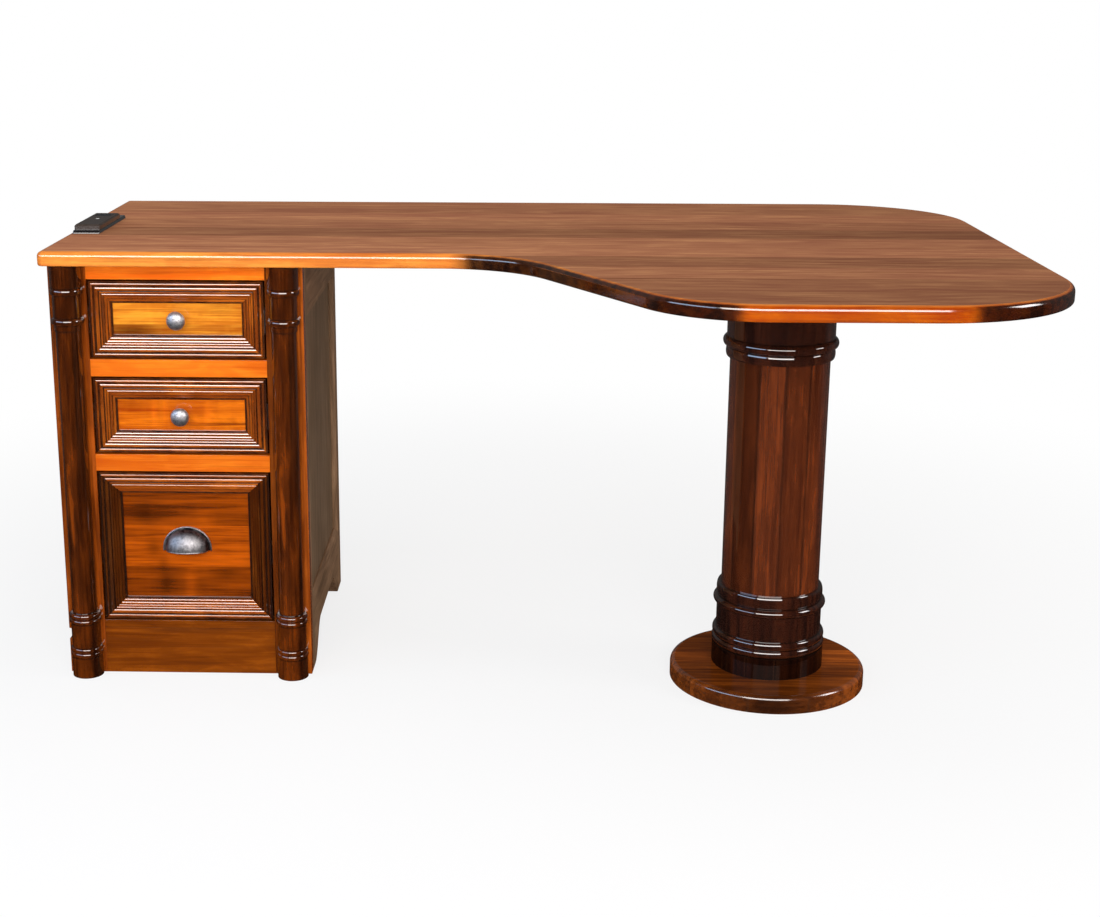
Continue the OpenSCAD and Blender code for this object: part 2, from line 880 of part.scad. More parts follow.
// One length of moulding along X, its outer edge at the origin's level, mitred at both ends
module mitred_moulding(l) {
  intersection() {
    translate([l, 0, 0]) rotate([0, -90, 0]) linear_extrude(l) moulding_section();
    translate([0, front_t + over, 0])
      rotate([90, 0, 0])
        linear_extrude(front_t + 2 * over)
          polygon([
            [glue_line, 0],
            [l - glue_line, 0],
            [l - moulding_w - glue_line, moulding_w],
            [moulding_w + glue_line, moulding_w]
          ]);
  }
}

front_h = [for (h = open_h) h - 2 * front_gap];
front_x0 = cab_mid - front_w / 2;

// The four mitred mouldings of a drawer front
module drawer_frame(i) {
  w = front_w;
  h = front_h[i];
  color(case_colour)
    translate([front_x0, front_y, open_z[i] + front_gap]) {
      mitred_moulding(w);
      translate([w, 0, h]) rotate([0, 180, 0]) mitred_moulding(w);
      translate([w, 0, 0]) rotate([0, -90, 0]) mitred_moulding(h);
      translate([0, 0, h]) rotate([0, 90, 0]) mitred_moulding(h);
    }
}

// Moves its children to the middle of a drawer front, on its flat panel's face
module on_panel(i) {
  translate([cab_mid, front_y + panel_set, open_z[i] + open_h[i] / 2]) children();
}

// Moves its children to a pull's place on a drawer front's flat panel
module at_pull(i) {
  on_panel(i)
    translate([0, 0, -pull_low[i]]) children();
}

// Holes for a pull's screws through a drawer's front
module pull_holes(i, xs) {
  at_pull(i)
    for (x = xs) {
      translate([x, -over, 0])
        rotate([-90, 0, 0]) cylinder(r = pull_screw_r + screw_gap, h = front_t + box_t + 2 * over);
    }
}

cup_screws = [-cup_screw_x, cup_screw_x];
knob_screw = [0];
screws_of = [knob_screw, knob_screw, cup_screws];
pull_low = [0, 0, cup_low];

module drawer_panel(i) {
  w = front_w - 2 * (moulding_w - panel_tongue);
  h = front_h[i] - 2 * (moulding_w - panel_tongue);
  color(panel_colour)
    difference() {
      on_panel(i)
        translate([-w / 2, 0, -h / 2]) cube([w, front_t - panel_set, h]);
      pull_holes(i, screws_of[i]);
    }
}

// The space that a drawer's bottom fills, grown by a clearance
module bottom_space(i, grow) {
  translate([
    box_x0 + box_t - groove_d - grow,
    box_y + box_t - groove_d - grow,
    open_z[i] + box_rise + bottom_rise - grow
  ])
    cube([
      box_w - 2 * (box_t - groove_d - grow),
      box_l - 2 * (box_t - groove_d - grow),
      bottom_t + 2 * grow
    ]);
}

// The four boards of a drawer box
module drawer_box(i) {
  color(inside_colour)
    difference() {
      translate([box_x0, box_y, open_z[i] + box_rise]) {
        for (x = [0, box_w - box_t]) {
          translate([x, 0, 0]) cube([box_t, box_l, box_h[i]]);
        }
        for (y = [0, box_l - box_t]) {
          translate([box_t + glue_line, y, 0])
            cube([box_w - 2 * (box_t + glue_line), box_t, box_h[i]]);
        }
      }
      bottom_space(i, fit_gap);
      pull_holes(i, screws_of[i]);
    }
}

module drawer_bottom(i) {
  color(inside_colour) bottom_space(i, 0);
}

// A round knob: a foot, a stem and a domed head
module knob(i) {
  head_y = knob_l - knob_head_l;
  color(pewter_colour)
    on_panel(i)
      rotate([90, 0, 0])
        difference() {
          rotate_extrude() {
            square([knob_foot_r, knob_foot_l]);
            square([knob_stem_r, head_y + over]);
            polygon(concat(
              [[0, head_y]],
              [for (a = [knob_low_a : knob_step_a : 90]) [
                knob_r * cos(a),
                head_y + knob_head_l * (sin(a) - sin(knob_low_a)) / (1 - sin(knob_low_a))
              ]]
            ));
          }
          translate([0, 0, -over])
            cylinder(r = pull_screw_r + screw_gap, h = screw_bite + 2 * over);
        }
}

// Half section of the cup pull's dome, in or out by a wall
module dome_section(wall) {
  a = cup_r - cup_rim_w - wall;
  b = cup_d - wall;
  polygon(concat(
    [[0, -over], [a, -over]],
    [for (k = [0 : cup_steps]) [a * cos(90 * k / cup_steps), b * sin(90 * k / cup_steps)]]
  ));
}

// A turned form, lowered to the height of the cup pull
module cup_turning() {
  scale([1, cup_rise / cup_r, 1]) rotate_extrude() children();
}

// The cup pull: half a dome with a rim, open below for the fingers
module drawer_3_cup_pull() {
  color(pewter_colour)
    at_pull(2)
      rotate([90, 0, 0])
        intersection() {
          translate([-cup_r - over, -cup_drop, 0])
            cube([2 * (cup_r + over), cup_rise + cup_drop + over, cup_d + over]);
          difference() {
            union() {
              difference() {
                cup_turning() {
                  dome_section(0);
                  square([cup_r, cup_rim_t]);
                }
                cup_turning() dome_section(cup_wall);
              }
              intersection() {
                cup_turning() dome_section(cup_wall / 2);
                for (x = cup_screws) {
                  translate([x, 0, 0]) cylinder(r = cup_boss_r, h = cup_d);
                }
              }
            }
            for (x = cup_screws) {
              translate([x, 0, -over])
                cylinder(r = pull_screw_r + screw_gap, h = screw_bite + 2 * over);
            }
          }
        }
}

// The screws of a pull, with their heads inside the drawer
module pull_screws(i) {
  through = front_t - panel_set + box_t;
  color(steel_colour)
    at_pull(i)
      for (x = screws_of[i]) {
        translate([x, -screw_bite, 0])
          rotate([-90, 0, 0]) {
            cylinder(r = pull_screw_r, h = screw_bite + through);
            translate([0, 0, screw_bite + through])
              cylinder(r = pull_screw_r * screw_head_share, h = screw_head_t);
          }
      }
}

module drawer_1_frame() { drawer_frame(0); }
module drawer_1_panel() { drawer_panel(0); }
module drawer_1_box() { drawer_box(0); }
module drawer_1_bottom() { drawer_bottom(0); }
module drawer_1_slides() { drawer_slides(0); }
module drawer_1_mid_slides() { mid_slides(0); }
module drawer_1_knob() { knob(0); }
module drawer_1_pull_screw() { pull_screws(0); }
module drawer_2_frame() { drawer_frame(1); }
module drawer_2_panel() { drawer_panel(1); }
module drawer_2_box() { drawer_box(1); }
module drawer_2_bottom() { drawer_bottom(1); }
module drawer_2_slides() { drawer_slides(1); }
module drawer_2_mid_slides() { mid_slides(1); }
module drawer_2_knob() { knob(1); }
module drawer_2_pull_screw() { pull_screws(1); }
module drawer_3_frame() { drawer_frame(2); }
module drawer_3_panel() { drawer_panel(2); }
module drawer_3_box() { drawer_box(2); }
module drawer_3_bottom() { drawer_bottom(2); }
module drawer_3_slides() { drawer_slides(2); }
module drawer_3_mid_slides() { mid_slides(2); }
module drawer_3_pull_screws() { pull_screws(2); }

// Flat bars on the file drawer's sides, which hanging folders hook over
module drawer_3_file_rails() {
  inset = (box_t - file_bar_t) / 2;
  color(steel_colour)
    for (x = [box_x0 + inset, box_x0 + box_w - inset - file_bar_t]) {
      translate([x, box_y, open_3_z + box_rise + file_box_h]) cube([file_bar_t, box_l, file_bar_h]);
    }
}

// Moves its children onto the pedestal's axis, at a height
module on_pedestal(z) {
  translate([ped_x, ped_y, z]) children();
}

module shaft_staves() {
  step = 360 / staves;
  joint = asin(glue_line / shaft_r);
  h = top_under - shaft_z0;
  color(turned_colour)
    on_pedestal(shaft_z0)
      for (k = [0 : staves - 1]) {
        rotate([0, 0, k * step])
          rotate_extrude(angle = step - joint) translate([shaft_in_r, 0]) square([shaft_wall, h]);
      }
}

// A collar of the pedestal, from the rows of its outline, standing on z = 0
module collar(h, rows) {
  bore = shaft_r + fit_gap;
  color(turned_colour) rotate_extrude() polygon(concat([[bore, 0]], rows, [[bore, h]]));
}

module neck_collar() {
  ring_z = neck_lead_h + neck_ring_h;
  on_pedestal(top_under - neck_h)
    collar(neck_h, concat(
      bead_points(0, neck_lead_h, collar_r - groove_in, lead_r),
      bead_points(neck_lead_h, ring_z, collar_r - groove_in, ring_r),
      drum_points(ring_z, neck_h, collar_r)
    ));
}

module plinth_collar() {
  bead_z = plinth_foot_h + plinth_bead_h;
  waist_z = bead_z + plinth_bead_h;
  ring_z = waist_z + plinth_waist_h;
  lead_z = ring_z + plinth_ring_h;
  top_z = lead_z + plinth_lead_h;
  on_pedestal(shaft_z0)
    collar(top_z, concat(
      drum_points(0, plinth_foot_h, plinth_foot_r),
      bead_points(plinth_foot_h, bead_z, collar_r + groove_in, plinth_foot_r + bead_out),
      bead_points(bead_z, waist_z, collar_r + groove_in, ring_r),
      drum_points(waist_z, ring_z, collar_r),
      bead_points(ring_z, lead_z, collar_r - groove_in, ring_r),
      bead_points(lead_z, top_z, collar_r - groove_in, lead_r)
    ));
}

module base_disc() {
  color(top_colour)
    on_pedestal(0)
      difference() {
        rotate_extrude() {
          square([base_r - base_round, base_t]);
          square([base_r, base_t - base_round]);
          translate([base_r - base_round, base_t - base_round]) circle(base_round);
        }
        translate([0, 0, -over]) cylinder(r = rod_hole_r, h = base_t + 2 * over);
        translate([0, 0, -over]) cylinder(r = pocket_r, h = pocket_d + over);
      }
}

module shaft_plugs() {
  color(inside_colour)
    for (z = [shaft_z0, top_under - plug_t]) {
      on_pedestal(z)
        difference() {
          cylinder(r = shaft_in_r - fit_gap, h = plug_t);
          translate([0, 0, -over]) cylinder(r = rod_hole_r, h = plug_t + 2 * over);
        }
    }
}

module tie_rod() {
  bottom = pocket_d - nut_t - rod_tail;
  color(steel_colour) on_pedestal(bottom) cylinder(r = rod_r, h = top_under + rod_hold - bottom);
}

// The threaded insert in the worktop and the nut in the base disc's pocket
module rod_fasteners() {
  color(steel_colour) {
    on_pedestal(top_under)
      difference() {
        cylinder(r = insert_r, h = rod_hold);
        translate([0, 0, -over]) cylinder(r = rod_r + screw_gap, h = rod_hold + 2 * over);
      }
    on_pedestal(pocket_d - nut_t)
      difference() {
        cylinder(r = nut_r, h = nut_t, $fn = 6);
        translate([0, 0, -over]) cylinder(r = rod_r + screw_gap, h = nut_t + 2 * over);
      }
  }
}

desk_top();
hub_base();
hub_cover();
hub_ports();
hub_indicator();
hub_tube();
hub_nut();
face_stile_left();
face_stile_right();
face_top_rail();
face_mid_rails();
kick_board();
corner_column_left();
corner_column_right();
side_left_stiles();
side_left_top_rail();
side_left_bottom_rail();
side_left_panel();
side_right_stiles();
side_right_top_rail();
side_right_bottom_rail();
side_right_panel();
back_panel();
cabinet_floor();
top_stretchers();
slide_blocks();
cabinet_slides();
top_screws();
drawer_1_frame();
drawer_1_panel();
drawer_1_box();
drawer_1_bottom();
drawer_1_slides();
drawer_1_mid_slides();
drawer_1_knob();
drawer_1_pull_screw();
drawer_2_frame();
drawer_2_panel();
drawer_2_box();
drawer_2_bottom();
drawer_2_slides();
drawer_2_mid_slides();
drawer_2_knob();
drawer_2_pull_screw();
drawer_3_frame();
drawer_3_panel();
drawer_3_box();
drawer_3_bottom();
drawer_3_slides();
drawer_3_mid_slides();
drawer_3_cup_pull();
drawer_3_pull_screws();
drawer_3_file_rails();
shaft_staves();
neck_collar();
plinth_collar();
base_disc();
shaft_plugs();
tie_rod();
rod_fasteners();
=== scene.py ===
import logging
import math
from dataclasses import dataclass, field, replace
from enum import Enum

import bmesh
import bpy
import numpy as np
from mathutils import Matrix, Vector


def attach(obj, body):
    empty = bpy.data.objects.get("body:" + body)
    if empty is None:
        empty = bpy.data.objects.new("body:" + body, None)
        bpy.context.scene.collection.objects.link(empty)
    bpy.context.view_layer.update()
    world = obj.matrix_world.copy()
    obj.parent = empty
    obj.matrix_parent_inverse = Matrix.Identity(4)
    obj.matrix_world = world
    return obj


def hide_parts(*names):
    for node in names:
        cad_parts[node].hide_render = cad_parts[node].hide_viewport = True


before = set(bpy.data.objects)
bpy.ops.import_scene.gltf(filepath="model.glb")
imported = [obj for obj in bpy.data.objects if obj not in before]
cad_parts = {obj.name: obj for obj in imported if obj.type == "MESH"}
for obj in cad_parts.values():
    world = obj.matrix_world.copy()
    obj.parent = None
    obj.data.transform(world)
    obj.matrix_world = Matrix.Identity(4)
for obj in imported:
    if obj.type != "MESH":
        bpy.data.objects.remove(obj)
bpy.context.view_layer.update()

MM = 0.001
LOG = logging.getLogger("desk")

Array = np.ndarray
Socket = bpy.types.NodeSocket


class Axis(Enum):
    """The direction of a board's grain, by its place in a point."""

    X = 0
    Z = 2


class Lay(Enum):
    """How a pattern on Object coordinates is turned: the axis of its grain, then the one across it."""

    X_Y = (0.0, 0.0, 0.0)
    Y_Z = (-math.pi / 2, -math.pi / 2, 0.0)
    Z_X = (math.pi / 2, 0.0, math.pi / 2)
    Z_Y = (0.0, math.pi / 2, 0.0)
    ON_UV = None


# Shapes

@dataclass
class Skin:
    """A surface in the making, in millimetres.

    points holds a row for each vertex, quads and loops hold the faces, uv holds metres along and across
    the grain, and values holds one number for each vertex under each attribute's name.
    """

    points: Array
    quads: Array
    loops: list[Array] = field(default_factory=list)
    uv: Array | None = None
    values: dict[str, Array] = field(default_factory=dict)


def sheet(
    points: Array, wrap_rows: bool = False, wrap_columns: bool = False, grain: tuple | None = None,
    **values: Array | float,
) -> Skin:
    """A skin over a grid of points: faces (i, j), (i, j+1), (i+1, j+1), (i+1, j).

    Args:
        points: rows, columns and x, y, z.
        wrap_rows: whether the last row joins the first.
        wrap_columns: whether the last column joins the first.
        grain: distances along and across the grain.
        values: the attributes.

    Returns:
        The skin, with grain and values spread over the whole grid.
    """
    rows, columns = shape = points.shape[:2]
    i, j = np.meshgrid(
        np.arange(rows if wrap_rows else rows - 1), np.arange(columns if wrap_columns else columns - 1),
        indexing="ij",
    )
    next_i, next_j = (i + 1) % rows, (j + 1) % columns
    corners = [i * columns + j, i * columns + next_j, next_i * columns + next_j, next_i * columns + j]
    spread = [np.broadcast_to(part, shape) for part in grain or ()]
    return Skin(
        points=points.reshape(-1, 3),
        quads=np.stack(corners, axis=-1).reshape(-1, 4),
        uv=np.stack(spread, axis=-1).reshape(-1, 2) * MM if spread else None,
        values={key: np.broadcast_to(value, shape).ravel() for key, value in values.items()},
    )


def tube(points: Array, grain: tuple | None = None, **values: Array | float) -> Skin:
    """A closed skin: each row of points closes round, and the first and the last row are faces.

    Args:
        points: rows, columns and x, y, z.
        grain: distances along and across the grain.
        values: the attributes.

    Returns:
        The skin.
    """
    skin = sheet(points, False, True, grain, **values)
    number = np.arange(len(skin.points))
    n = points.shape[1]
    skin.loops = [number[:n][::-1], number[-n:]]
    return skin


def border(shape: tuple[int, int]) -> Array:
    """The numbers of the points round the border of a grid, along its first row first."""
    number = np.arange(shape[0] * shape[1]).reshape(shape)
    return np.concatenate([number[0, :-1], number[:-1, -1], number[-1, :0:-1], number[:0:-1, 0]])


def around(centre: tuple, radius: Array | float, a: Array, z: Array) -> Array:
    """Points round an upright axis: centre + radius * (cos a, sin a) at the height z."""
    x, y = centre[0] + radius * np.cos(a), centre[1] + radius * np.sin(a)
    return np.stack(np.broadcast_arrays(x, y, z), axis=-1)


def joined(skins: list[Skin]) -> Skin:
    """Puts several surfaces into one, each keeping its own vertices.

    Args:
        skins: the surfaces, which all have the same attributes.

    Returns:
        The one surface.
    """
    starts = np.cumsum([0] + [len(skin.points) for skin in skins[:-1]])
    return Skin(
        points=np.concatenate([skin.points for skin in skins]),
        quads=np.concatenate([skin.quads + start for skin, start in zip(skins, starts)]),
        loops=[loop + start for skin, start in zip(skins, starts) for loop in skin.loops],
        uv=None if skins[0].uv is None else np.concatenate([skin.uv for skin in skins]),
        values={name: np.concatenate([skin.values[name] for skin in skins]) for name in skins[0].values},
    )


def build(name: str, skin: Skin, sharp_above: float = 35.0, weld: bool = False) -> bpy.types.Object:
    """Makes an object at the origin from a surface.

    Args:
        name: the object's name.
        skin: its surface.
        sharp_above: angle in degrees past which an edge isn't shaded smooth.
        weld: whether vertices at one place become one, for a pole.

    Returns:
        The object, linked to the scene.
    """
    mesh = bpy.data.meshes.new(name)
    faces = skin.quads.tolist() + [loop.tolist() for loop in skin.loops]
    mesh.from_pydata((skin.points * MM).tolist(), [], faces)
    for key, values in skin.values.items():
        attribute = mesh.attributes.new(key, "FLOAT", "POINT")
        attribute.data.foreach_set("value", values.astype(np.float32))
    if skin.uv is not None:
        corner = np.empty(len(mesh.loops), dtype=np.int32)
        mesh.loops.foreach_get("vertex_index", corner)
        layer = mesh.uv_layers.new(name="grain")
        layer.data.foreach_set("uv", skin.uv[corner].astype(np.float32).ravel())
    if weld:
        work = bmesh.new()
        work.from_mesh(mesh)
        bmesh.ops.remove_doubles(work, verts=work.verts, dist=1e-6)
        bmesh.ops.recalc_face_normals(work, faces=work.faces)
        work.to_mesh(mesh)
        work.free()
    mesh.validate()
    mesh.update()
    mesh.shade_smooth()
    mesh.set_sharp_from_angle(angle=math.radians(sharp_above))
    made = bpy.data.objects.new(name, mesh)
    bpy.context.scene.collection.objects.link(made)
    made.modifiers.new("flat_faces", "WEIGHTED_NORMAL").keep_sharp = True
    return made


def arc_corner_outline(corners: Array, inset: float, steps: int) -> Array:
    """The outline of a plate: straight stretches that run into an arc at each corner.

    An arc's points are centre + (r - s * inset) * (cos a, sin a), where r is the corner's radius and
    s is 1 on a convex corner and -1 on a hollow one, so every inset has the same number of points.

    Args:
        corners: rows of x, y and radius, anticlockwise.
        inset: distance that the outline moves inwards.
        steps: chords in each arc.

    Returns:
        One row of x and y for each point.
    """
    place, radius = corners[:, :2], corners[:, 2]
    way_in = place - np.roll(place, 1, axis=0)
    way_in /= np.linalg.norm(way_in, axis=1, keepdims=True)
    way_out = np.roll(way_in, -1, axis=0)
    side = np.sign(way_in[:, 0] * way_out[:, 1] - way_in[:, 1] * way_out[:, 0])
    turn = np.arccos(np.clip(np.sum(way_in * way_out, axis=1), -1, 1))
    start = place - way_in * (radius * np.tan(turn / 2))[:, None]
    inwards = np.stack([-way_in[:, 1], way_in[:, 0]], axis=1)
    centre = start + inwards * (radius * side)[:, None]
    first = np.arctan2(way_in[:, 1], way_in[:, 0]) - side * math.pi / 2
    angle = first[:, None] + (side * turn)[:, None] * np.linspace(0, 1, steps + 1)
    reach = (radius - side * inset)[:, None, None]
    arcs = centre[:, None, :] + reach * np.stack([np.cos(angle), np.sin(angle)], axis=-1)
    return arcs.reshape(-1, 2)


def oblong(low: tuple, high: tuple, radius: float) -> Array:
    """The corners of an oblong outline between two opposite corners, as rows of x, y and radius."""
    (x0, y0), (x1, y1) = low, high
    return np.array([[x0, y0, radius], [x1, y0, radius], [x1, y1, radius], [x0, y1, radius]])


def edge_rows(thickness: float, low_r: float, top_r: float, steps: int) -> Array:
    """The rounded edge of a plate: inset r * (1 - sin a) below, and r * (1 - cos a) above.

    Args:
        thickness: the plate's thickness.
        low_r: radius of its lower edge.
        top_r: radius of its upper edge.
        steps: chords in each rounding.

    Returns:
        One row of inset and height for each row of the edge, upwards.
    """
    a = np.linspace(0, math.pi / 2, steps + 1)
    low = np.stack([low_r * (1 - np.sin(a)), low_r * (1 - np.cos(a))], axis=1)
    top = np.stack([top_r * (1 - np.cos(a)), thickness - top_r * (1 - np.sin(a))], axis=1)
    return np.concatenate([low, top])


def plate(corners: Array, rows: Array, steps: int, base: float = 0.0) -> Skin:
    """A plate: its outline once for each row of its edge, and a face on each end.

    Args:
        corners: rows of x, y and radius, anticlockwise.
        rows: rows of inset and height.
        steps: chords in each corner's arc.
        base: height of its lower face.

    Returns:
        The plate, standing up along z.
    """
    flat = np.stack([arc_corner_outline(corners, inset, steps) for inset, _ in rows])
    height = np.broadcast_to(base + rows[:, 1:, None], (*flat.shape[:2], 1))
    return tube(np.concatenate([flat, height], axis=-1))


def board(low: tuple, high: tuple, grain: Axis, edge_r: float = 0.3, steps: int = 3) -> Skin:
    """A board with eased edges and its thickness along y.

    Args:
        low: its lowest corner.
        high: its highest corner.
        grain: the direction of its grain.
        edge_r: radius of its edges.
        steps: chords in each rounding.

    Returns:
        The board, with metres along and across its grain as its UV.
    """
    z_x_y = [2, 0, 1]
    lo, hi = np.array(low)[z_x_y], np.array(high)[z_x_y]
    rows = edge_rows(hi[2] - lo[2], edge_r, edge_r, steps)
    skin = plate(oblong(lo[:2], hi[:2], edge_r), rows, steps, lo[2])
    points = skin.points[:, [1, 2, 0]]
    along = points[:, grain.value]
    skin.points = points
    skin.uv = np.stack([along, points.sum(axis=1) - along], axis=1) * MM
    return skin


def bead(z0: float, z1: float, neck: float, crest: float, steps: int = 14, glazed: float = 0.55) -> Array:
    """The outline of a turned bead: neck + (crest - neck) * sin a, at heights that follow -cos a.

    Args:
        z0: height of its lower edge.
        z1: height of its upper edge.
        neck: radius of the grooves beside it.
        crest: radius at its middle.
        steps: chords in the bead.
        glazed: sin a up to which the glaze and painted shade in the grooves reach.

    Returns:
        Rows of radius, height and depth of glaze and painted shade, 1 in the grooves.
    """
    a = np.linspace(0, math.pi, steps + 1)
    height = (z0 + z1) / 2 - (z1 - z0) / 2 * np.cos(a)
    glaze = np.clip(1 - np.sin(a) / glazed, 0, 1)
    return np.stack([neck + (crest - neck) * np.sin(a), height, glaze], axis=1)


def drum(z0: float, z1: float, radius: float, groove: float = 1.6) -> Array:
    """The outline of a plain drum from z0 to z1, glazed and painted in shade for a groove's length at both
    ends.
    """
    return np.array([[radius, z0, 1], [radius, z0 + groove, 0], [radius, z1 - groove, 0], [radius, z1, 1]])


def turning(heights: tuple, kinds: tuple) -> Array:
    """The outline of a turning: from each height to the next a drum or a bead, with its own radii."""
    return np.concatenate([
        kind(low, high, *radii) for low, high, (kind, *radii) in zip(heights, heights[1:], kinds)
    ])


def lathe(profile: Array, centre: tuple, segments: int, closed: bool, wrap_r: float = 100.0) -> Skin:
    """A turned shape: every row of the outline carried round the axis as r * (cos a, sin a).

    Args:
        profile: rows of radius, height and glaze, upwards on the outside.
        centre: x and y of the axis.
        segments: chords in a full turn.
        closed: whether the outline's last row joins its first, for a ring.
        wrap_r: radius at which the way round is measured across the grain.

    Returns:
        The turned shape, with its grain upwards.
    """
    a = np.arange(segments) * 2 * math.pi / segments
    radius, height, glaze = profile.T[..., None]
    return sheet(around(centre, radius, a, height), closed, True, (height, a * wrap_r), glaze=glaze)


def on_top(skin: Skin, height: float, slack: float = 0.01) -> Array:
    """1 at the points of a skin that lie on its flat top at this height, 0 at the others."""
    return (skin.points[:, 2] > height - slack).astype(float)


# Shader nodes

class Nodes:
    """Short ways to place and join shader nodes in one tree."""

    def __init__(self, tree: bpy.types.NodeTree) -> None:
        """Keeps the tree that the nodes go into."""
        self.tree = tree

    def add(self, kind: str, inputs: dict | None = None, **settings: object) -> bpy.types.Node:
        """Adds a node.

        Args:
            kind: the node's type.
            inputs: for its sockets, by number or name, what each is joined to or set to.
            settings: its properties and their values.

        Returns:
            The node.
        """
        made = self.tree.nodes.new(kind)
        for key, value in settings.items():
            setattr(made, key, value)
        self.fill(made, inputs or {})
        return made

    def fill(self, node: bpy.types.Node, inputs: dict) -> None:
        """Joins or sets a node's sockets.

        Args:
            node: the node.
            inputs: for its sockets, by number or name, what each is joined to or set to.
        """
        for key, source in inputs.items():
            if isinstance(source, Socket):
                self.tree.links.new(source, node.inputs[key])
            else:
                node.inputs[key].default_value = source

    def math(self, operation: str, a: object, b: object = 0.0, clamp: bool = False) -> Socket:
        """A Math node's result, held between 0 and 1 where clamp is set."""
        return self.add("ShaderNodeMath", {0: a, 1: b}, operation=operation, use_clamp=clamp).outputs[0]

    def span(
        self, value: object, low: float, high: float, out_low: float = 0.0, out_high: float = 1.0,
    ) -> Socket:
        """A smooth Map Range node's result: out_low where value is low, out_high where it is high."""
        inputs = {0: value, 1: low, 2: high, 3: out_low, 4: out_high}
        return self.add("ShaderNodeMapRange", inputs, interpolation_type="SMOOTHSTEP").outputs[0]

    def blend(self, share: object, a: object, b: object) -> Socket:
        """A Mix node's colour: a under b, of which a share shows."""
        return self.add("ShaderNodeMix", {0: share, 6: a, 7: b}, data_type="RGBA").outputs[2]

    def scaled(self, vector: object, scale: tuple, shift: object = (0.0, 0.0, 0.0)) -> Socket:
        """A vector multiplied by three numbers, with another one added."""
        inputs = {0: vector, 1: scale, 2: shift}
        return self.add("ShaderNodeVectorMath", inputs, operation="MULTIPLY_ADD").outputs[0]

    def noise(
        self, vector: object, scale: tuple, detail: float, rough: float = 0.55, bend: float = 0.0,
    ) -> Socket:
        """A Noise Texture node's value, with a scale for each axis; bend is its distortion."""
        return self.add("ShaderNodeTexNoise", {
            "Vector": self.scaled(vector, scale), "Scale": 1.0, "Detail": detail, "Roughness": rough,
            "Distortion": bend,
        }).outputs[0]

    def share(self, name: str) -> Socket:
        """Reads a number that the mesh holds for each of its points, 0 where it has none."""
        return self.add("ShaderNodeAttribute", attribute_name=name).outputs["Fac"]

    def place(self) -> Socket:
        """The Object coordinates."""
        return self.add("ShaderNodeTexCoord").outputs["Object"]

    def parts(self, vector: object) -> bpy.types.NodeOutputs:
        """A vector's three parts."""
        return self.add("ShaderNodeSeparateXYZ", {0: vector}).outputs

    def group(self, tree: bpy.types.NodeTree, inputs: dict) -> bpy.types.NodeOutputs:
        """Places a node group, with what its inputs are joined to or set to."""
        return self.add("ShaderNodeGroup", inputs, node_tree=tree).outputs

    def bump(self, height: Socket, distance: float, strength: float) -> Socket:
        """A Bump node's normal from a height between 0 and 1."""
        inputs = {"Height": height, "Distance": distance, "Strength": strength}
        return self.add("ShaderNodeBump", inputs).outputs[0]


# The kind of a socket, by how many numbers it holds
KINDS = {1: "NodeSocketFloat", 3: "NodeSocketVector", 4: "NodeSocketColor"}
FROM_ZERO = (0, 0, 0)
ANY_COLOUR = (0.5, 0.5, 0.5, 1)


def new_group(name: str, inputs: dict[str, object], outputs: dict[str, int]) -> tuple:
    """Starts a shader node group.

    Args:
        name: the group's name.
        inputs: for each input its default value, which tells its kind.
        outputs: for each output, how many numbers it holds.

    Returns:
        The group, its short ways, its inputs and its output node.
    """
    tree = bpy.data.node_groups.new(name, "ShaderNodeTree")
    for key, default in inputs.items():
        socket = tree.interface.new_socket(key, in_out="INPUT", socket_type=KINDS[np.size(default)])
        socket.default_value = default
    for key, size in outputs.items():
        tree.interface.new_socket(key, in_out="OUTPUT", socket_type=KINDS[size])
    nodes = Nodes(tree)
    return tree, nodes, nodes.add("NodeGroupInput").outputs, nodes.add("NodeGroupOutput")


# How far each tone moves the choice of a board's pattern, and how far the pattern moves in metres
TONE_STEP = 7.3
BOARD_JUMP = (9.0, 5.0, 5.0)
# Distances from a board's edge at which its seam starts to show and is at its darkest
SEAM_EDGE = (0.0011, 0.0003)


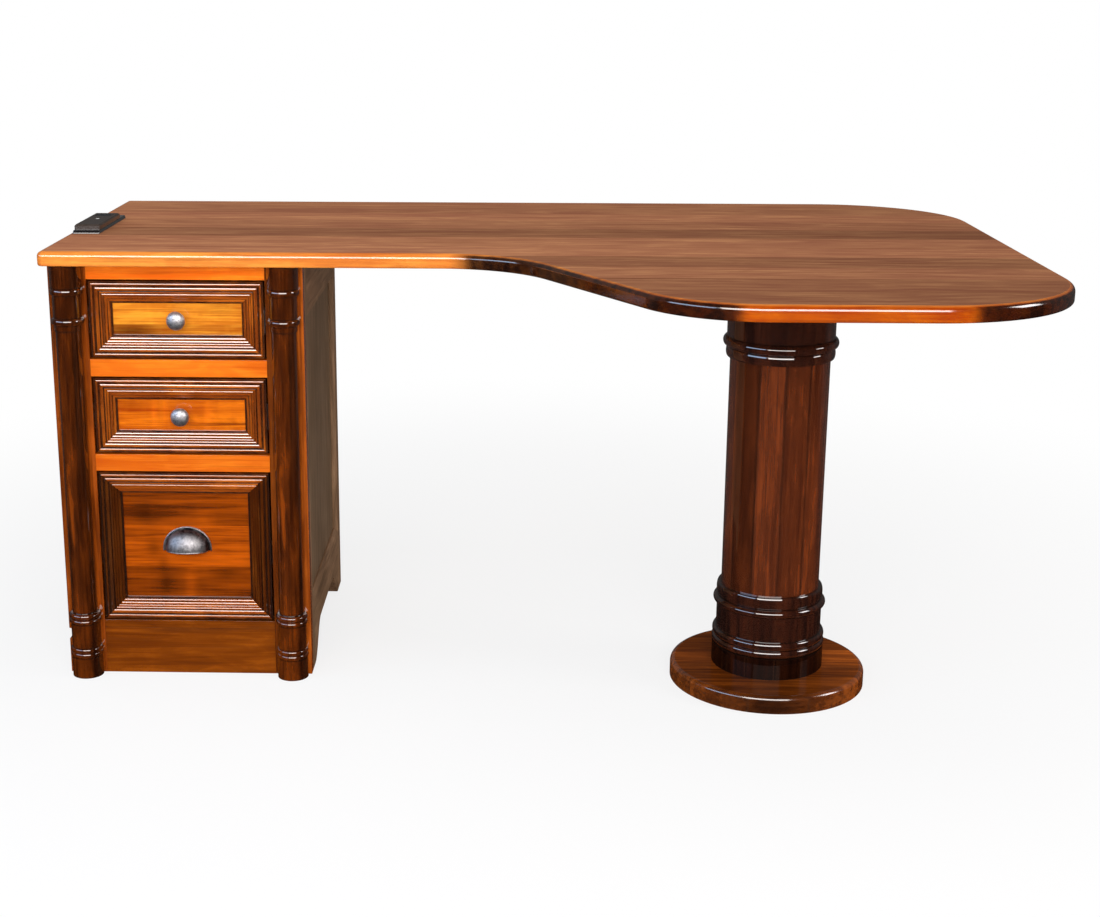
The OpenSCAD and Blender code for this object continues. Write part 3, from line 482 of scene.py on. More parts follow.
def stained_grain_group() -> bpy.types.NodeTree:
    """Stained hardwood: boards of different tone, long figure, fine fibres, dark streaks and curl.

    The coordinates are metres: x along the grain, y across a board's width, z through it.

    Returns:
        The group.
    """
    numbers = (
        "Board Width", "Tone Spread", "Streak Amount", "Curl", "Mottle", "Seam", "Tone", "Shade", "Blush",
        "Fade", "Seed",
    )
    tree, n, given, result = new_group(
        "stained_grain",
        {"Vector": FROM_ZERO, "Light": ANY_COLOUR, "Dark": ANY_COLOUR, "Streak": ANY_COLOUR}
        | {key: 0.0 for key in numbers},
        {"Color": 4, "Height": 1, "Roughness": 1},
    )
    share_across = n.math("DIVIDE", n.parts(given["Vector"])[1], given["Board Width"])
    from_seam = n.math("MULTIPLY", n.math("PINGPONG", share_across, 0.5), given["Board Width"])
    index = n.math("ADD", n.math("FLOOR", share_across), given["Seed"])
    key = n.math("ADD", index, n.math("MULTIPLY", given["Tone"], TONE_STEP))
    chance = n.add("ShaderNodeTexWhiteNoise", {"W": key}, noise_dimensions="1D").outputs
    where = n.scaled(chance["Color"], BOARD_JUMP, given["Vector"])

    figure = n.noise(where, (1.4, 13.0, 13.0), 3.0, 0.5, 0.8)
    rings = n.math("PINGPONG", n.math("MULTIPLY", figure, 11.0), 1.0)
    fibre = n.noise(where, (9.0, 420.0, 420.0), 3.0, 0.6)
    grain = n.noise(where, (5.0, 120.0, 120.0), 4.0, 0.62, 0.4)
    cloud = n.noise(where, (4.0, 9.0, 9.0), 2.0)
    mottle = n.noise(where, (13.0, 40.0, 40.0), 4.0, 0.6, 0.7)
    curl = n.noise(where, (30.0, 6.0, 6.0), 2.0, 0.5, 1.2)
    streak = n.noise(where, (2.4, 75.0, 75.0), 5.0, 0.62, 0.2)

    share = n.math("MULTIPLY", rings, 0.2)
    for part, weight in ((figure, 0.4), (grain, 0.8), (fibre, 0.5), (cloud, 0.35)):
        share = n.math("ADD", share, n.math("MULTIPLY", part, weight))
    colour = n.blend(n.span(share, 0.84, 1.4), given["Dark"], given["Light"])
    smudge = n.math("MULTIPLY", n.span(mottle, 0.66, 0.4), given["Mottle"])
    colour = n.blend(smudge, colour, given["Dark"])
    bars = n.math("MULTIPLY", n.span(curl, 0.45, 0.7), given["Curl"])
    colour = n.blend(bars, colour, given["Light"])

    tone = n.math("MULTIPLY", n.math("SUBTRACT", chance["Value"], 0.5), given["Tone Spread"])
    rich = n.math("ADD", 1.0, n.math("MULTIPLY", given["Blush"], 0.05))
    # Shade lifts or darkens the wood: board tone, and on some pieces painted light and shade
    level = n.add("ShaderNodeHueSaturation", {
        "Color": colour,
        "Value": n.math("ADD", 1.0, n.math("ADD", tone, given["Shade"])),
        "Hue": n.math("SUBTRACT", 0.5, n.math("MULTIPLY", given["Blush"], 0.02)),
        # less saturated where the flat top gets its painted sheen
        "Saturation": n.math("SUBTRACT", rich, given["Fade"]),
    })
    mask = n.math("MULTIPLY", n.span(streak, 0.54, 0.72), given["Streak Amount"], True)
    seam = n.math("MULTIPLY", n.span(from_seam, *SEAM_EDGE), given["Seam"])
    n.fill(result, {
        "Color": n.blend(n.math("MAXIMUM", mask, seam), level.outputs[0], given["Streak"]),
        "Height": n.math("ADD", n.math("MULTIPLY", fibre, 0.6), n.math("MULTIPLY", grain, 0.4)),
        "Roughness": n.span(grain, 0.3, 0.7, 0.30, 0.40),
    })
    return tree


def glaze_and_groove_shade_group() -> bpy.types.NodeTree:
    """Dark glaze, with painted shade, that stays in grooves: a colour goes towards it where Depth is 1.

    Returns:
        The group.
    """
    tree, n, given, result = new_group(
        "groove_glaze_and_shade",
        {"Color": ANY_COLOUR, "Glaze": ANY_COLOUR, "Depth": 0.0, "Patchy": 0.2, "Vector": FROM_ZERO},
        {"Color": 4},
    )
    cloud = n.noise(given["Vector"], (45.0, 60.0, 60.0), 4.0, 0.6)
    bare = n.math("MULTIPLY", n.span(cloud, 0.62, 0.4), given["Patchy"])
    depth = n.math("MULTIPLY", given["Depth"], n.math("SUBTRACT", 1.0, bare), True)
    n.fill(result, {"Color": n.blend(depth, given["Color"], given["Glaze"])})
    return tree


SPECKLE_ROUGH = 0.34
SPECKLE_ROUGH_SPREAD = 0.08


def speckle_group() -> bpy.types.NodeTree:
    """Cast metal or plastic: small pits and freckles of a second tone.

    Returns:
        The group.
    """
    tree, n, given, result = new_group(
        "cast_speckle",
        {"Vector": FROM_ZERO, "Bright": ANY_COLOUR, "Dark": ANY_COLOUR, "Amount": 0.5, "Scale": 900.0},
        {"Color": 4, "Height": 1, "Roughness": 1},
    )
    zoom = {0: given["Vector"], "Scale": given["Scale"]}
    point = n.add("ShaderNodeVectorMath", zoom, operation="SCALE").outputs[0]
    fine = n.noise(point, (1.0, 1.0, 1.0), 4.0, 0.65)
    broad = n.noise(point, (0.22, 0.22, 0.22), 2.0)
    freckles = n.span(n.math("ADD", fine, n.math("MULTIPLY", broad, 0.5)), 0.6, 0.95)
    least, most = SPECKLE_ROUGH - SPECKLE_ROUGH_SPREAD, SPECKLE_ROUGH + SPECKLE_ROUGH_SPREAD
    n.fill(result, {
        "Color": n.blend(n.math("MULTIPLY", freckles, given["Amount"], True), given["Bright"], given["Dark"]),
        "Height": fine,
        "Roughness": n.span(fine, 0.3, 0.7, least, most),
    })
    return tree


# Finishes

def srgb(r: int, g: int, b: int) -> tuple[float, float, float, float]:
    """A colour as it is seen on a screen, made linear.

    Args:
        r: red, 0 to 255.
        g: green.
        b: blue.

    Returns:
        The colour and its alpha, 1.
    """
    share = np.array([r, g, b]) / 255
    linear = np.where(share <= 0.04045, share / 12.92, ((share + 0.055) / 1.055) ** 2.4)
    return (*linear.tolist(), 1.0)


def new_material(name: str) -> tuple:
    """Starts a material.

    Args:
        name: its name.

    Returns:
        The material, its short ways and its Principled shader.
    """
    made = bpy.data.materials.new(name)
    made.use_nodes = True
    return made, Nodes(made.node_tree), made.node_tree.nodes["Principled BSDF"]


@dataclass(frozen=True)
class WoodFinish:
    """A stained and lacquered wood."""

    name: str
    light: tuple
    dark: tuple
    streak: tuple = (0.045, 0.018, 0.008, 1.0)
    glaze: tuple = (0.012, 0.006, 0.004, 1.0)
    patchy: float = 0.2
    lay: Lay = Lay.ON_UV
    board: float = 3.0
    board_shift: float = 0.0
    spread: float = 0.3
    streaks: float = 0.4
    curl: float = 0.0
    mottle: float = 0.4
    seam: float = 0.35
    coat: float = 1.0
    coat_rough: float = 0.08
    coat_ior: float = 2.1
    relief: float = 0.15
    relief_depth: float = 0.0001
    satin: float = 0.0
    # fade greys the flat top where satin is 1: a painted sheen
    fade: float = 0.0
    seed: float = 0.0

    def material(self, groups: dict[str, bpy.types.NodeTree]) -> bpy.types.Material:
        """Builds the material.

        Args:
            groups: the shared node groups.

        Returns:
            The material.
        """
        made, n, shader = new_material(self.name)
        on_uv = self.lay is Lay.ON_UV
        where = n.add("ShaderNodeMapping", {
            "Vector": n.add("ShaderNodeTexCoord").outputs["UV" if on_uv else "Object"],
            "Location": (0.0, self.board_shift, 0.0), "Rotation": FROM_ZERO if on_uv else self.lay.value,
        }).outputs[0]
        grain = n.group(groups["grain"], {
            "Vector": where, "Light": self.light, "Dark": self.dark, "Streak": self.streak,
            "Board Width": self.board, "Tone Spread": self.spread, "Streak Amount": self.streaks,
            "Curl": self.curl, "Mottle": self.mottle, "Seam": self.seam, "Seed": self.seed,
            # the shade attribute holds tone, and on some pieces painted light and shade
            "Tone": n.share("tone"), "Shade": n.share("shade"), "Blush": n.share("blush"),
            # the flat top's fade is a painted sheen
            "Fade": n.math("MULTIPLY", n.share("satin"), self.fade),
        })
        glazed = n.group(groups["glaze"], {
            "Color": grain["Color"], "Glaze": self.glaze, "Depth": n.share("glaze"), "Patchy": self.patchy,
            "Vector": where,
        })
        n.fill(shader, {
            "Base Color": glazed["Color"], "Roughness": grain["Roughness"], "Specular IOR Level": 0.0,
            "Coat Weight": self.coat, "Coat Roughness": self.coat_rough, "Coat IOR": self.coat_ior,
            "Normal": n.bump(grain["Height"], self.relief_depth, self.relief),
        })
        if self.satin:
            worn = n.math("MULTIPLY", n.share("satin"), self.satin * self.coat)
            n.fill(shader, {"Coat Weight": n.math("SUBTRACT", self.coat, worn)})
        return made


@dataclass(frozen=True)
class CastFinish:
    """A cast metal or a moulded plastic, with freckles of a second tone."""

    name: str
    bright: tuple
    dark: tuple
    amount: float = 0.35
    scale: float = 500.0
    metallic: float = 0.0
    rough: float = 0.4
    coat: float = 0.0
    glow: float = 0.0
    bump: float = 0.00002
    relief: float = 0.4
    glaze: tuple = (0.012, 0.011, 0.014, 1.0)
    patchy: float = 0.4

    def material(self, groups: dict[str, bpy.types.NodeTree]) -> bpy.types.Material:
        """Builds the material.

        Args:
            groups: the shared node groups.

        Returns:
            The material.
        """
        made, n, shader = new_material(self.name)
        speckle = n.group(groups["speckle"], {
            "Vector": n.place(), "Bright": self.bright, "Dark": self.dark, "Amount": self.amount,
            "Scale": self.scale,
        })
        glazed = n.group(groups["glaze"], {
            "Color": speckle["Color"], "Glaze": self.glaze, "Depth": n.share("glaze"), "Patchy": self.patchy,
            "Vector": n.place(),
        })
        n.fill(shader, {
            "Base Color": glazed["Color"], "Metallic": self.metallic, "Coat Weight": self.coat,
            "Roughness": n.math("MULTIPLY", speckle["Roughness"], self.rough / SPECKLE_ROUGH),
            "Emission Strength": self.glow,
            "Normal": n.bump(speckle["Height"], self.bump, self.relief),
        })
        return made


# Its fade greys the flat top: a painted sheen.
TOP_WOOD = WoodFinish(
    "top_wood", srgb(244, 152, 60), srgb(190, 98, 34), streak=srgb(96, 48, 22), glaze=srgb(30, 11, 5),
    patchy=0.12, lay=Lay.X_Y, board=0.105, board_shift=0.03, spread=0.24, streaks=0.35, coat_rough=0.12,
    satin=0.9, fade=0.17, seed=3,
)
CASE_ORANGE = WoodFinish(
    "case_orange", srgb(246, 132, 28), srgb(206, 86, 10), streak=srgb(120, 50, 8), spread=0.1, seed=11,
)
STILE_WOOD = WoodFinish("stile_wood", srgb(196, 98, 26), srgb(112, 46, 6), spread=0.1, seed=17)
LEFT_STILE_WOOD = WoodFinish(
    "left_stile_wood", srgb(176, 82, 18), srgb(96, 40, 5), lay=Lay.Z_X, board_shift=1.2, spread=0.1, seed=19,
)
KICK_WOOD = WoodFinish("kick_wood", srgb(142, 70, 9), srgb(96, 41, 4), streaks=0.3, mottle=0.5, seed=23)
MOULDING_WOOD = WoodFinish(
    "moulding_wood", srgb(214, 112, 30), srgb(128, 54, 12), spread=0.15, streaks=0.5, mottle=0.7,
    coat_rough=0.05, coat_ior=3.0, relief=0.03, satin=1.0, seed=29,
)
COLUMN_WOOD = WoodFinish(
    "column_wood", srgb(142, 64, 13), srgb(52, 20, 6), spread=0.1, streaks=0.6, mottle=0.6, coat_rough=0.05,
    relief=0.03, seed=31,
)
PANEL_1_WOOD = WoodFinish(
    "panel_1_wood", srgb(255, 170, 48), srgb(180, 80, 8), streak=srgb(120, 46, 5), streaks=0.8, curl=0.1,
    spread=0.0, seed=41,
)
PANEL_2_WOOD = WoodFinish(
    "panel_2_wood", srgb(250, 132, 16), srgb(166, 60, 2), streak=srgb(104, 36, 3), streaks=0.8, curl=0.15,
    spread=0.0, seed=42,
)
PANEL_3_WOOD = WoodFinish(
    "panel_3_wood", srgb(208, 92, 4), srgb(108, 42, 2), streak=srgb(62, 24, 2), streaks=0.15, curl=0.12,
    mottle=0.15, spread=0.0, seed=43,
)
# The side pieces' base colours are greyed: a painted sheen over their brown wood.
SIDE_UPRIGHT_PAINTED_SHEEN = WoodFinish(
    "side_upright_painted_sheen_wood", srgb(172, 134, 102), srgb(116, 88, 64), lay=Lay.Z_Y, board_shift=1.4, coat=0.3,
    coat_rough=0.3, coat_ior=1.5, seed=47,
)
SIDE_RAIL_PAINTED_SHEEN = replace(SIDE_UPRIGHT_PAINTED_SHEEN, name="side_rail_painted_sheen_wood", lay=Lay.Y_Z, seed=53)
SIDE_PANEL_PAINTED_SHEEN = replace(
    SIDE_UPRIGHT_PAINTED_SHEEN, name="side_panel_painted_sheen_wood", light=srgb(152, 124, 98), dark=srgb(112, 88, 64), board=0.12,
    board_shift=0.0, seed=59,
)
SHAFT_WOOD = WoodFinish(
    "shaft_wood", srgb(114, 52, 22), srgb(66, 28, 13), streak=srgb(34, 14, 8), spread=0.15, mottle=0.5,
    relief=0.03, seed=61,
)
TURNED_WOOD = WoodFinish(
    "turned_wood", srgb(62, 28, 15), srgb(24, 10, 7), board=0.0509, spread=0.6, streaks=0.3, coat_rough=0.05,
    relief=0.03, satin=0.75, seed=67,
)
DISC_WOOD = WoodFinish(
    "disc_wood", srgb(166, 84, 25), srgb(92, 42, 11), glaze=srgb(36, 16, 8), patchy=0.8, lay=Lay.X_Y,
    board=0.07, board_shift=0.02, spread=0.5, streaks=0.5, coat_rough=0.15, satin=0.85, seed=71,
)
INSIDE_WOOD = WoodFinish(
    "inside_wood", srgb(232, 200, 150), srgb(206, 168, 116), streak=srgb(150, 110, 70), lay=Lay.Y_Z,
    board=0.09, spread=0.12, streaks=0.2, coat=0.05, coat_ior=1.5, seed=73,
)
BACK_WOOD = WoodFinish(
    "back_wood", srgb(168, 124, 78), srgb(134, 94, 56), streak=srgb(100, 66, 38), lay=Lay.Z_X, board=0.14,
    spread=0.1, streaks=0.3, coat=0.05, coat_ior=1.5, seed=79,
)
PEWTER = CastFinish(
    "pewter", srgb(232, 228, 230), srgb(96, 90, 94), amount=0.75, scale=800.0, metallic=1.0, rough=0.48,
    bump=0.0005, relief=0.6,
)
STEEL = CastFinish(
    "zinc_steel", srgb(200, 204, 210), srgb(140, 144, 150), amount=0.3, scale=300.0, metallic=1.0, rough=0.34,
    bump=0.0001, relief=0.6,
)
GLOSS_BLACK = CastFinish("gloss_black", srgb(22, 20, 22), srgb(44, 38, 36), rough=0.1, coat=1.0)
SATIN_BLACK = CastFinish("satin_black", srgb(58, 48, 42), srgb(86, 74, 66), coat=0.15)
PORT_PLASTIC = CastFinish("port_plastic", srgb(26, 26, 28), srgb(48, 48, 52))
INDICATOR = CastFinish(
    "indicator_plastic", srgb(240, 240, 238), srgb(215, 215, 212), rough=0.3, coat=0.6, glow=0.5,
)


# Sizes that several sub-assemblies share

UNDER_TOP = 737.0
TOP_T = 25.0
FACE_Y = -85.0
FACE_T = 20.0
PANEL_SET = 10.0
PANEL_Y = FACE_Y + PANEL_SET
FRONT_LEFT = -747.0
FRONT_RIGHT = -450.0
FRONT_X = (FRONT_LEFT + FRONT_RIGHT) / 2
DISC_TOP = 31.0


# Sub-assemblies

class Shop:
    """Makes each finish once, dresses the pieces and puts them on their bodies."""

    def __init__(self) -> None:
        """Builds the shared node groups."""
        self.groups = {"grain": stained_grain_group(), "glaze": glaze_and_groove_shade_group(), "speckle": speckle_group()}
        self.made: dict[str, bpy.types.Material] = {}

    def dress(self, target: bpy.types.Object, finish: WoodFinish | CastFinish) -> None:
        """Puts a finish on an object in place of what it has.

        Args:
            target: the object.
            finish: the finish, whose material is made at its first use.
        """
        if finish.name not in self.made:
            self.made[finish.name] = finish.material(self.groups)
        target.data.materials.clear()
        target.data.materials.append(self.made[finish.name])

    def place(
        self, name: str, skin: Skin, node: str, slot: str, finish: WoodFinish | CastFinish,
        body: str = "desk", **shading: float | bool,
    ) -> None:
        """Builds a piece, dresses it, puts it on its body and hides the CAD node that it stands for.

        Args:
            name: the piece's name.
            skin: its surface.
            node: the CAD node that it replaces.
            slot: the record's material slot; not used.
            finish: its finish.
            body: the CAD body that it rides on.
            shading: what build takes besides, sharp_above and weld.
        """
        made = build(name, skin, **shading)
        self.dress(made, finish)
        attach(made, body)
        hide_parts(node)
        LOG.info("%s: %d faces", name, len(made.data.polygons))


@dataclass
class Worktop:
    """The free-form worktop with its rounded edge."""

    left: float = -822.5
    right: float = 822.5
    back: float = 569.0
    front: float = -569.0
    narrow_front: float = -121.0
    under: float = UNDER_TOP
    thickness: float = TOP_T
    wide_r: float = 250.0
    bend_r: float = 200.0
    bend_a: float = math.radians(60)
    curve_x: float = 672.0
    end_r: float = 10.0
    top_edge_r: float = 9.0
    low_edge_r: float = 4.0
    edge_steps: int = 10
    arc_steps: int = 40
    end_from: float = 0.08
    end_span: float = 0.2
    end_shade: float = -0.5
    stain_fade: float = 2.7
    wide_glaze: float = 0.4
    corner_stain: float = 0.15
    # painted shade on the flat top, and its slope: lighter to the left as a painted sheen
    painted_top_shade: float = -0.45
    painted_top_sheen_slope: float = -0.09

    def skin(self) -> Skin:
        """The slab: its outline once for each row of its rounded edge.

        Returns:
            The slab with its stain, and painted shade on its flat top that lightens leftwards as a painted
            sheen.
        """
        bend_1 = self.left + self.curve_x + self.bend_r * math.tan(self.bend_a / 2)
        bend_2 = bend_1 + (self.narrow_front - self.front) / math.tan(self.bend_a)
        corners = np.array([
            [self.left, self.narrow_front, self.end_r],
            [bend_1, self.narrow_front, self.bend_r],
            [bend_2, self.front, self.bend_r],
            [self.right, self.front, self.wide_r],
            [self.right, self.back, self.wide_r],
            [self.left, self.back, self.end_r],
        ])
        rows = edge_rows(self.thickness, self.low_edge_r, self.top_edge_r, self.edge_steps)
        skin = plate(corners, rows, self.arc_steps, self.under)
        stain, blush = self.edge_stain(skin.points.reshape(len(rows), -1, 3))
        satin = on_top(skin, self.under + self.thickness)
        # painted shade and sheen on the flat top, and the end grain's darker stain
        change = self.painted_top_shade + self.painted_top_sheen_slope * skin.points[:, 0] / self.right
        shade = change * satin + self.end_shade * np.clip(2 * stain - 1, 0, 1)
        skin.values = {"glaze": stain, "blush": blush, "satin": satin, "shade": shade}
        return skin

    def edge_stain(self, points: Array) -> tuple[Array, Array]:
        """How dark the edge is: end grain takes more stain, and so does the wide front's side grain.

        The share of end grain is (|n_x| - end_from) / end_span of the outline, held between 0 and 1, little
        of it at the small front left corner, and both fade out on the flat faces.

        Args:
            points: the slab's points, one row for each row of its edge.

        Returns:
            The depth of the glaze and how red the wood is, one number each for each point.
        """
        ring = points[len(points) // 2, :, :2]
        along = np.roll(ring, -1, axis=0) - np.roll(ring, 1, axis=0)
        normal_x = np.abs(along[:, 1]) / np.linalg.norm(along, axis=1)
        end = np.clip((normal_x - self.end_from) / self.end_span, 0, 1)
        corner = np.hypot(ring[:, 0] - self.left, ring[:, 1] - self.narrow_front) < 2 * self.end_r
        end = np.where(corner, self.corner_stain * end, end)
        height = points[:, :1, 2] - self.under
        fade = np.clip((self.thickness - height) / self.stain_fade, 0, 1)
        wide = np.clip((self.narrow_front - ring[:, 1]) / (self.narrow_front - self.front), 0, 1)
        return (fade * np.maximum(end, wide * self.wide_glaze)).ravel(), (fade * wide).ravel()

    def make(self, shop: Shop) -> None:
        """Builds the worktop."""
        shop.place("worktop", self.skin(), "desk_top", "top_wood", TOP_WOOD)


@dataclass
class CornerColumn:
    """A turned column, planed flat where it is glued to the face frame."""

    name: str
    x: float
    y: float = -93.0
    face_y: float = FACE_Y
    heights: tuple = (0, 37, 46, 55, 99, 109, 119, 625, 635, 647, 686, 698, UNDER_TOP)
    foot_r: float = 27.0
    drum_r: float = 25.5
    upper_drum_r: float = 24.2
    shaft_r: float = 22.0
    step_r: float = 23.3
    bead_r: float = 28.0
    shaft_groove: float = 3.0
    steps: int = 64
    # level, strip and the lit strip's angle and width paint light and shade round the column
    level: float = -0.62
    strip: float = 0.9
    painted_lit_angle: float = 0.3
    painted_lit_width: float = 0.45
    head: tuple = (560, 30, 0.65)
    foot: tuple = (125, 15, 0.9)

    def profile(self) -> Array:
        """The column's outline, upwards: rows of radius, height and glaze."""
        low_bead, step_bead = (bead, self.drum_r, self.bead_r), (bead, self.step_r, self.bead_r)
        return turning(self.heights, (
            (drum, self.foot_r), low_bead, low_bead, (drum, self.drum_r), step_bead, step_bead,
            (drum, self.shaft_r, self.shaft_groove), (drum, self.step_r), step_bead,
            (drum, self.upper_drum_r), (bead, self.upper_drum_r, self.bead_r), (drum, self.foot_r),
        ))

    def skin(self) -> Skin:
        """The column: each row of its outline goes round the axis between the two ends of its flat.

        A row of radius r starts and ends where y + r * sin a reaches the face frame.

        Returns:
            The column with its glaze, its painted light and shade, and its change of tone.
        """
        radius, height, glaze = self.profile().T[..., None]
        flat = np.arcsin((self.face_y - self.y) / radius)
        a = math.pi - flat + (math.pi + 2 * flat) * np.linspace(0, 1, self.steps + 1)
        points = around((self.x, self.y), radius, a, height)
        return tube(points, (height, a * self.foot_r), glaze=glaze, shade=self.shade(a, height))

    def shade(self, a: Array, height: Array) -> Array:
        """Painted light on the column: a lit strip left of its front, painted shade to both sides, darker
        ends.

        It is level + strip * exp(-((a - a_lit) / painted_lit_width) ** 2) * (1 - the ends' shares). The
        head's share rises with height and the foot's falls. Each is a height, the length of its change and
        its most.

        Args:
            a: the angle of each point round the axis.
            height: the height of each row.

        Returns:
            The change of tone of each point, painted light and shade included.
        """
        # painted lit strip left of the front; to both sides the level gives painted shade
        strip = np.exp(-((a - 1.5 * math.pi + self.painted_lit_angle) / self.painted_lit_width) ** 2)
        head = self.head[2] / (1 + np.exp((self.head[0] - height) / self.head[1]))
        foot = self.foot[2] / (1 + np.exp((height - self.foot[0]) / self.foot[1]))
        return self.level + self.strip * strip * (1 - head - foot)

    def make(self, shop: Shop) -> None:
        """Builds the column."""
        shop.place(self.name + "_turning", self.skin(), self.name, "base_wood", COLUMN_WOOD, sharp_above=50)


@dataclass
class FaceFrame:
    """The stiles, rails and kick board round the drawers."""

    left: float = -814.5
    right: float = -382.5
    stile: float = 64.5
    y: float = FACE_Y
    thick: float = FACE_T
    top: float = UNDER_TOP
    top_rail: float = 27.0
    # painted shadow of the right column, darkest at the stile's inner edge
    stile_painted_column_shadow: float = -0.5
    # the top rail is drawn lighter: a painted sheen
    top_rail_painted_sheen: float = 0.14
    openings: tuple = ((572.0, 710.0), (404.0, 542.0), (99.0, 374.0))

    def rail(self, low: float, high: float, tone: float, shade: float = 0.0) -> Skin:
        """A rail between two heights, with its tone's number and its change of tone.

        Args:
            low: height of its lower edge.
            high: height of its upper edge.
            tone: its tone's number.
            shade: how much lighter it is drawn; on the top rail a painted sheen.

        Returns:
            The rail.
        """
        x0, x1 = self.left + self.stile, self.right - self.stile
        skin = board((x0, self.y, low), (x1, self.y + self.thick, high), Axis.X)
        skin.values = {"tone": np.full(len(skin.points), tone), "shade": np.full(len(skin.points), shade)}
        return skin

    def make(self, shop: Shop) -> None:
        """Builds the boards of the face frame.

        Args:
            shop: makes and dresses the pieces.
        """
        low = (self.right - self.stile, self.y, 0)
        stile = board(low, (self.right, self.y + self.thick, self.top), Axis.Z)
        # painted shadow of the column, darkening towards the stile's inner edge
        stile.values["shade"] = self.stile_painted_column_shadow * (self.right - stile.points[:, 0]) / self.stile
        shop.place("right_stile", stile, "face_stile_right", "case_wood", STILE_WOOD)
        top_rail = self.rail(self.top - self.top_rail, self.top, 1, self.top_rail_painted_sheen)
        shop.place("top_rail", top_rail, "face_top_rail", "case_wood", CASE_ORANGE)
        upper, middle, lower = self.openings
        rails = joined([self.rail(middle[1], upper[0], 2), self.rail(lower[1], middle[0], 3)])
        shop.place("drawer_rails", rails, "face_mid_rails", "case_wood", CASE_ORANGE)
        shop.place("kick", self.rail(0, lower[0], 4), "kick_board", "case_wood", KICK_WOOD)


@dataclass
class DrawerFront:
    """The four mitred mouldings of a drawer front.

    A reed is where it starts and ends, how deep its crest lies, and its outer and inner angle in degrees.
    A fillet is where it starts and ends and how deep it lies.
    """

    number: int
    low: float
    high: float
    side_shade: float
    dull: float
    left: float = FRONT_LEFT
    right: float = FRONT_RIGHT
    y: float = FACE_Y
    thick: float = FACE_T
    width: float = 38.5
    tongue: float = 8.15
    panel_set: float = PANEL_SET
    mitre: float = 0.1
    quirk: float = 0.35
    quirk_d: float = 0.9
    # depths of glaze and painted shade: the outer side in the gap, the fillets, the reeds' flanks and the
    # grooves
    glazes: tuple = (0.3, 0.9, 0.6, 1.0)
    reed_steps: int = 10
    steps: int = 8
    reeds: tuple = (
        (3.3, 7.2, 0.0, 32.0, 32.0), (10.0, 16.4, 0.2, 32.0, 32.0), (18.0, 21.4, 0.9, 6.0, 34.0),
        (21.4, 25.6, 1.2, 32.0, 34.0), (25.6, 30.6, 3.0, 6.0, 36.0), (30.6, 35.4, 5.0, 6.0, 36.0),
    )
    fillets: tuple = ((0.0, 3.3, 1.3), (7.2, 10.0, 2.0), (16.4, 18.0, 2.6), (35.4, 38.5, 7.6))

    def profile(self) -> Array:
        """The moulding's section from its outer edge inwards: distance in, depth and glaze.

        Each reed is a low arc that leans from its outer angle to its inner one: its places are
        start + R * (sin a + sin outer) and its depths crest + R * (1 - cos a), where R carries it from
        start to end. A quirk drops from both its sides, and flat fillets lie between.

        Returns:
            One row for each point of the section.
        """
        side_glaze_and_shade, fillet_glaze_and_shade, flank_glaze_and_shade, groove_glaze_and_shade = self.glazes
        rows = [np.array([[0.0, self.thick, side_glaze_and_shade]])]
        for start, end, depth, *lean in sorted(self.reeds + self.fillets):
            if not lean:
                rows.append(np.array([[start, depth, fillet_glaze_and_shade], [end, depth, fillet_glaze_and_shade]]))
                continue
            outer, inner = np.radians(lean)
            a = np.linspace(-outer, inner, self.reed_steps + 1)
            reach = (end - start - 2 * self.quirk) / (math.sin(outer) + math.sin(inner))
            place = start + self.quirk + reach * (np.sin(a) + math.sin(outer))
            arc = np.stack([place, depth + reach * (1 - np.cos(a)), 0 * a], axis=1)
            arc[[0, -1], 2] = flank_glaze_and_shade
            drop = groove_glaze_and_shade - flank_glaze_and_shade
            sides = arc[[0, -1]] + [[-self.quirk, self.quirk_d, drop], [self.quirk, self.quirk_d, drop]]
            rows.append(np.concatenate([sides[:1], arc, sides[1:]]))
        inner = self.width - self.tongue
        rows.append(np.array([
            [self.width, self.panel_set, groove_glaze_and_shade],
            [inner, self.panel_set, 0.0],
            [inner, self.thick, 0.0],
        ]))
        return np.concatenate(rows)

    def member(
        self, start: Array, along: Array, inwards: Array, length: float, tone: float, shade: float,
    ) -> Skin:
        """One moulding: start + along * (d + m + t * (length - 2 * (d + m))) + inwards * d.

        Args:
            start: its outer corner, x and z.
            along: its direction, x and z.
            inwards: the direction to the panel, x and z.
            length: its outer length.
            tone: its tone's number.
            shade: how much lighter it is drawn.

        Returns:
            The moulding, mitred at both ends.
        """
        across, depth, glaze = self.profile()[::-1].T
        t = np.linspace(0, 1, self.steps + 1)[:, None]
        reach = across + self.mitre + t * (length - 2 * (across + self.mitre))
        x, z = start[:, None, None] + along[:, None, None] * reach + inwards[:, None, None] * across
        points = np.stack(np.broadcast_arrays(x, self.y + depth, z), axis=-1)
        return tube(points, (reach, across + depth), glaze=glaze, tone=tone, shade=shade, satin=self.dull)

    def make(self, shop: Shop) -> None:
        """Builds the front's mouldings.

        Args:
            shop: makes and dresses the pieces.
        """
        w = self.right - self.left
        h = self.high - self.low
        x, z = np.eye(2)
        corner = np.array([self.left, self.low])
        skin = joined([
            self.member(corner, x, z, w, self.number + 0.1, 0.0),
            self.member(corner + w * x, z, -x, h, self.number + 0.2, self.side_shade),
            self.member(corner + w * x + h * z, -x, -z, w, self.number + 0.3, 0.0),
            self.member(corner + h * z, -z, x, h, self.number + 0.4, self.side_shade),
        ])
        body = f"drawer_{self.number}"
        name, node = body + "_moulding", body + "_frame"
        shop.place(name, skin, node, "case_wood", MOULDING_WOOD, body, sharp_above=30)


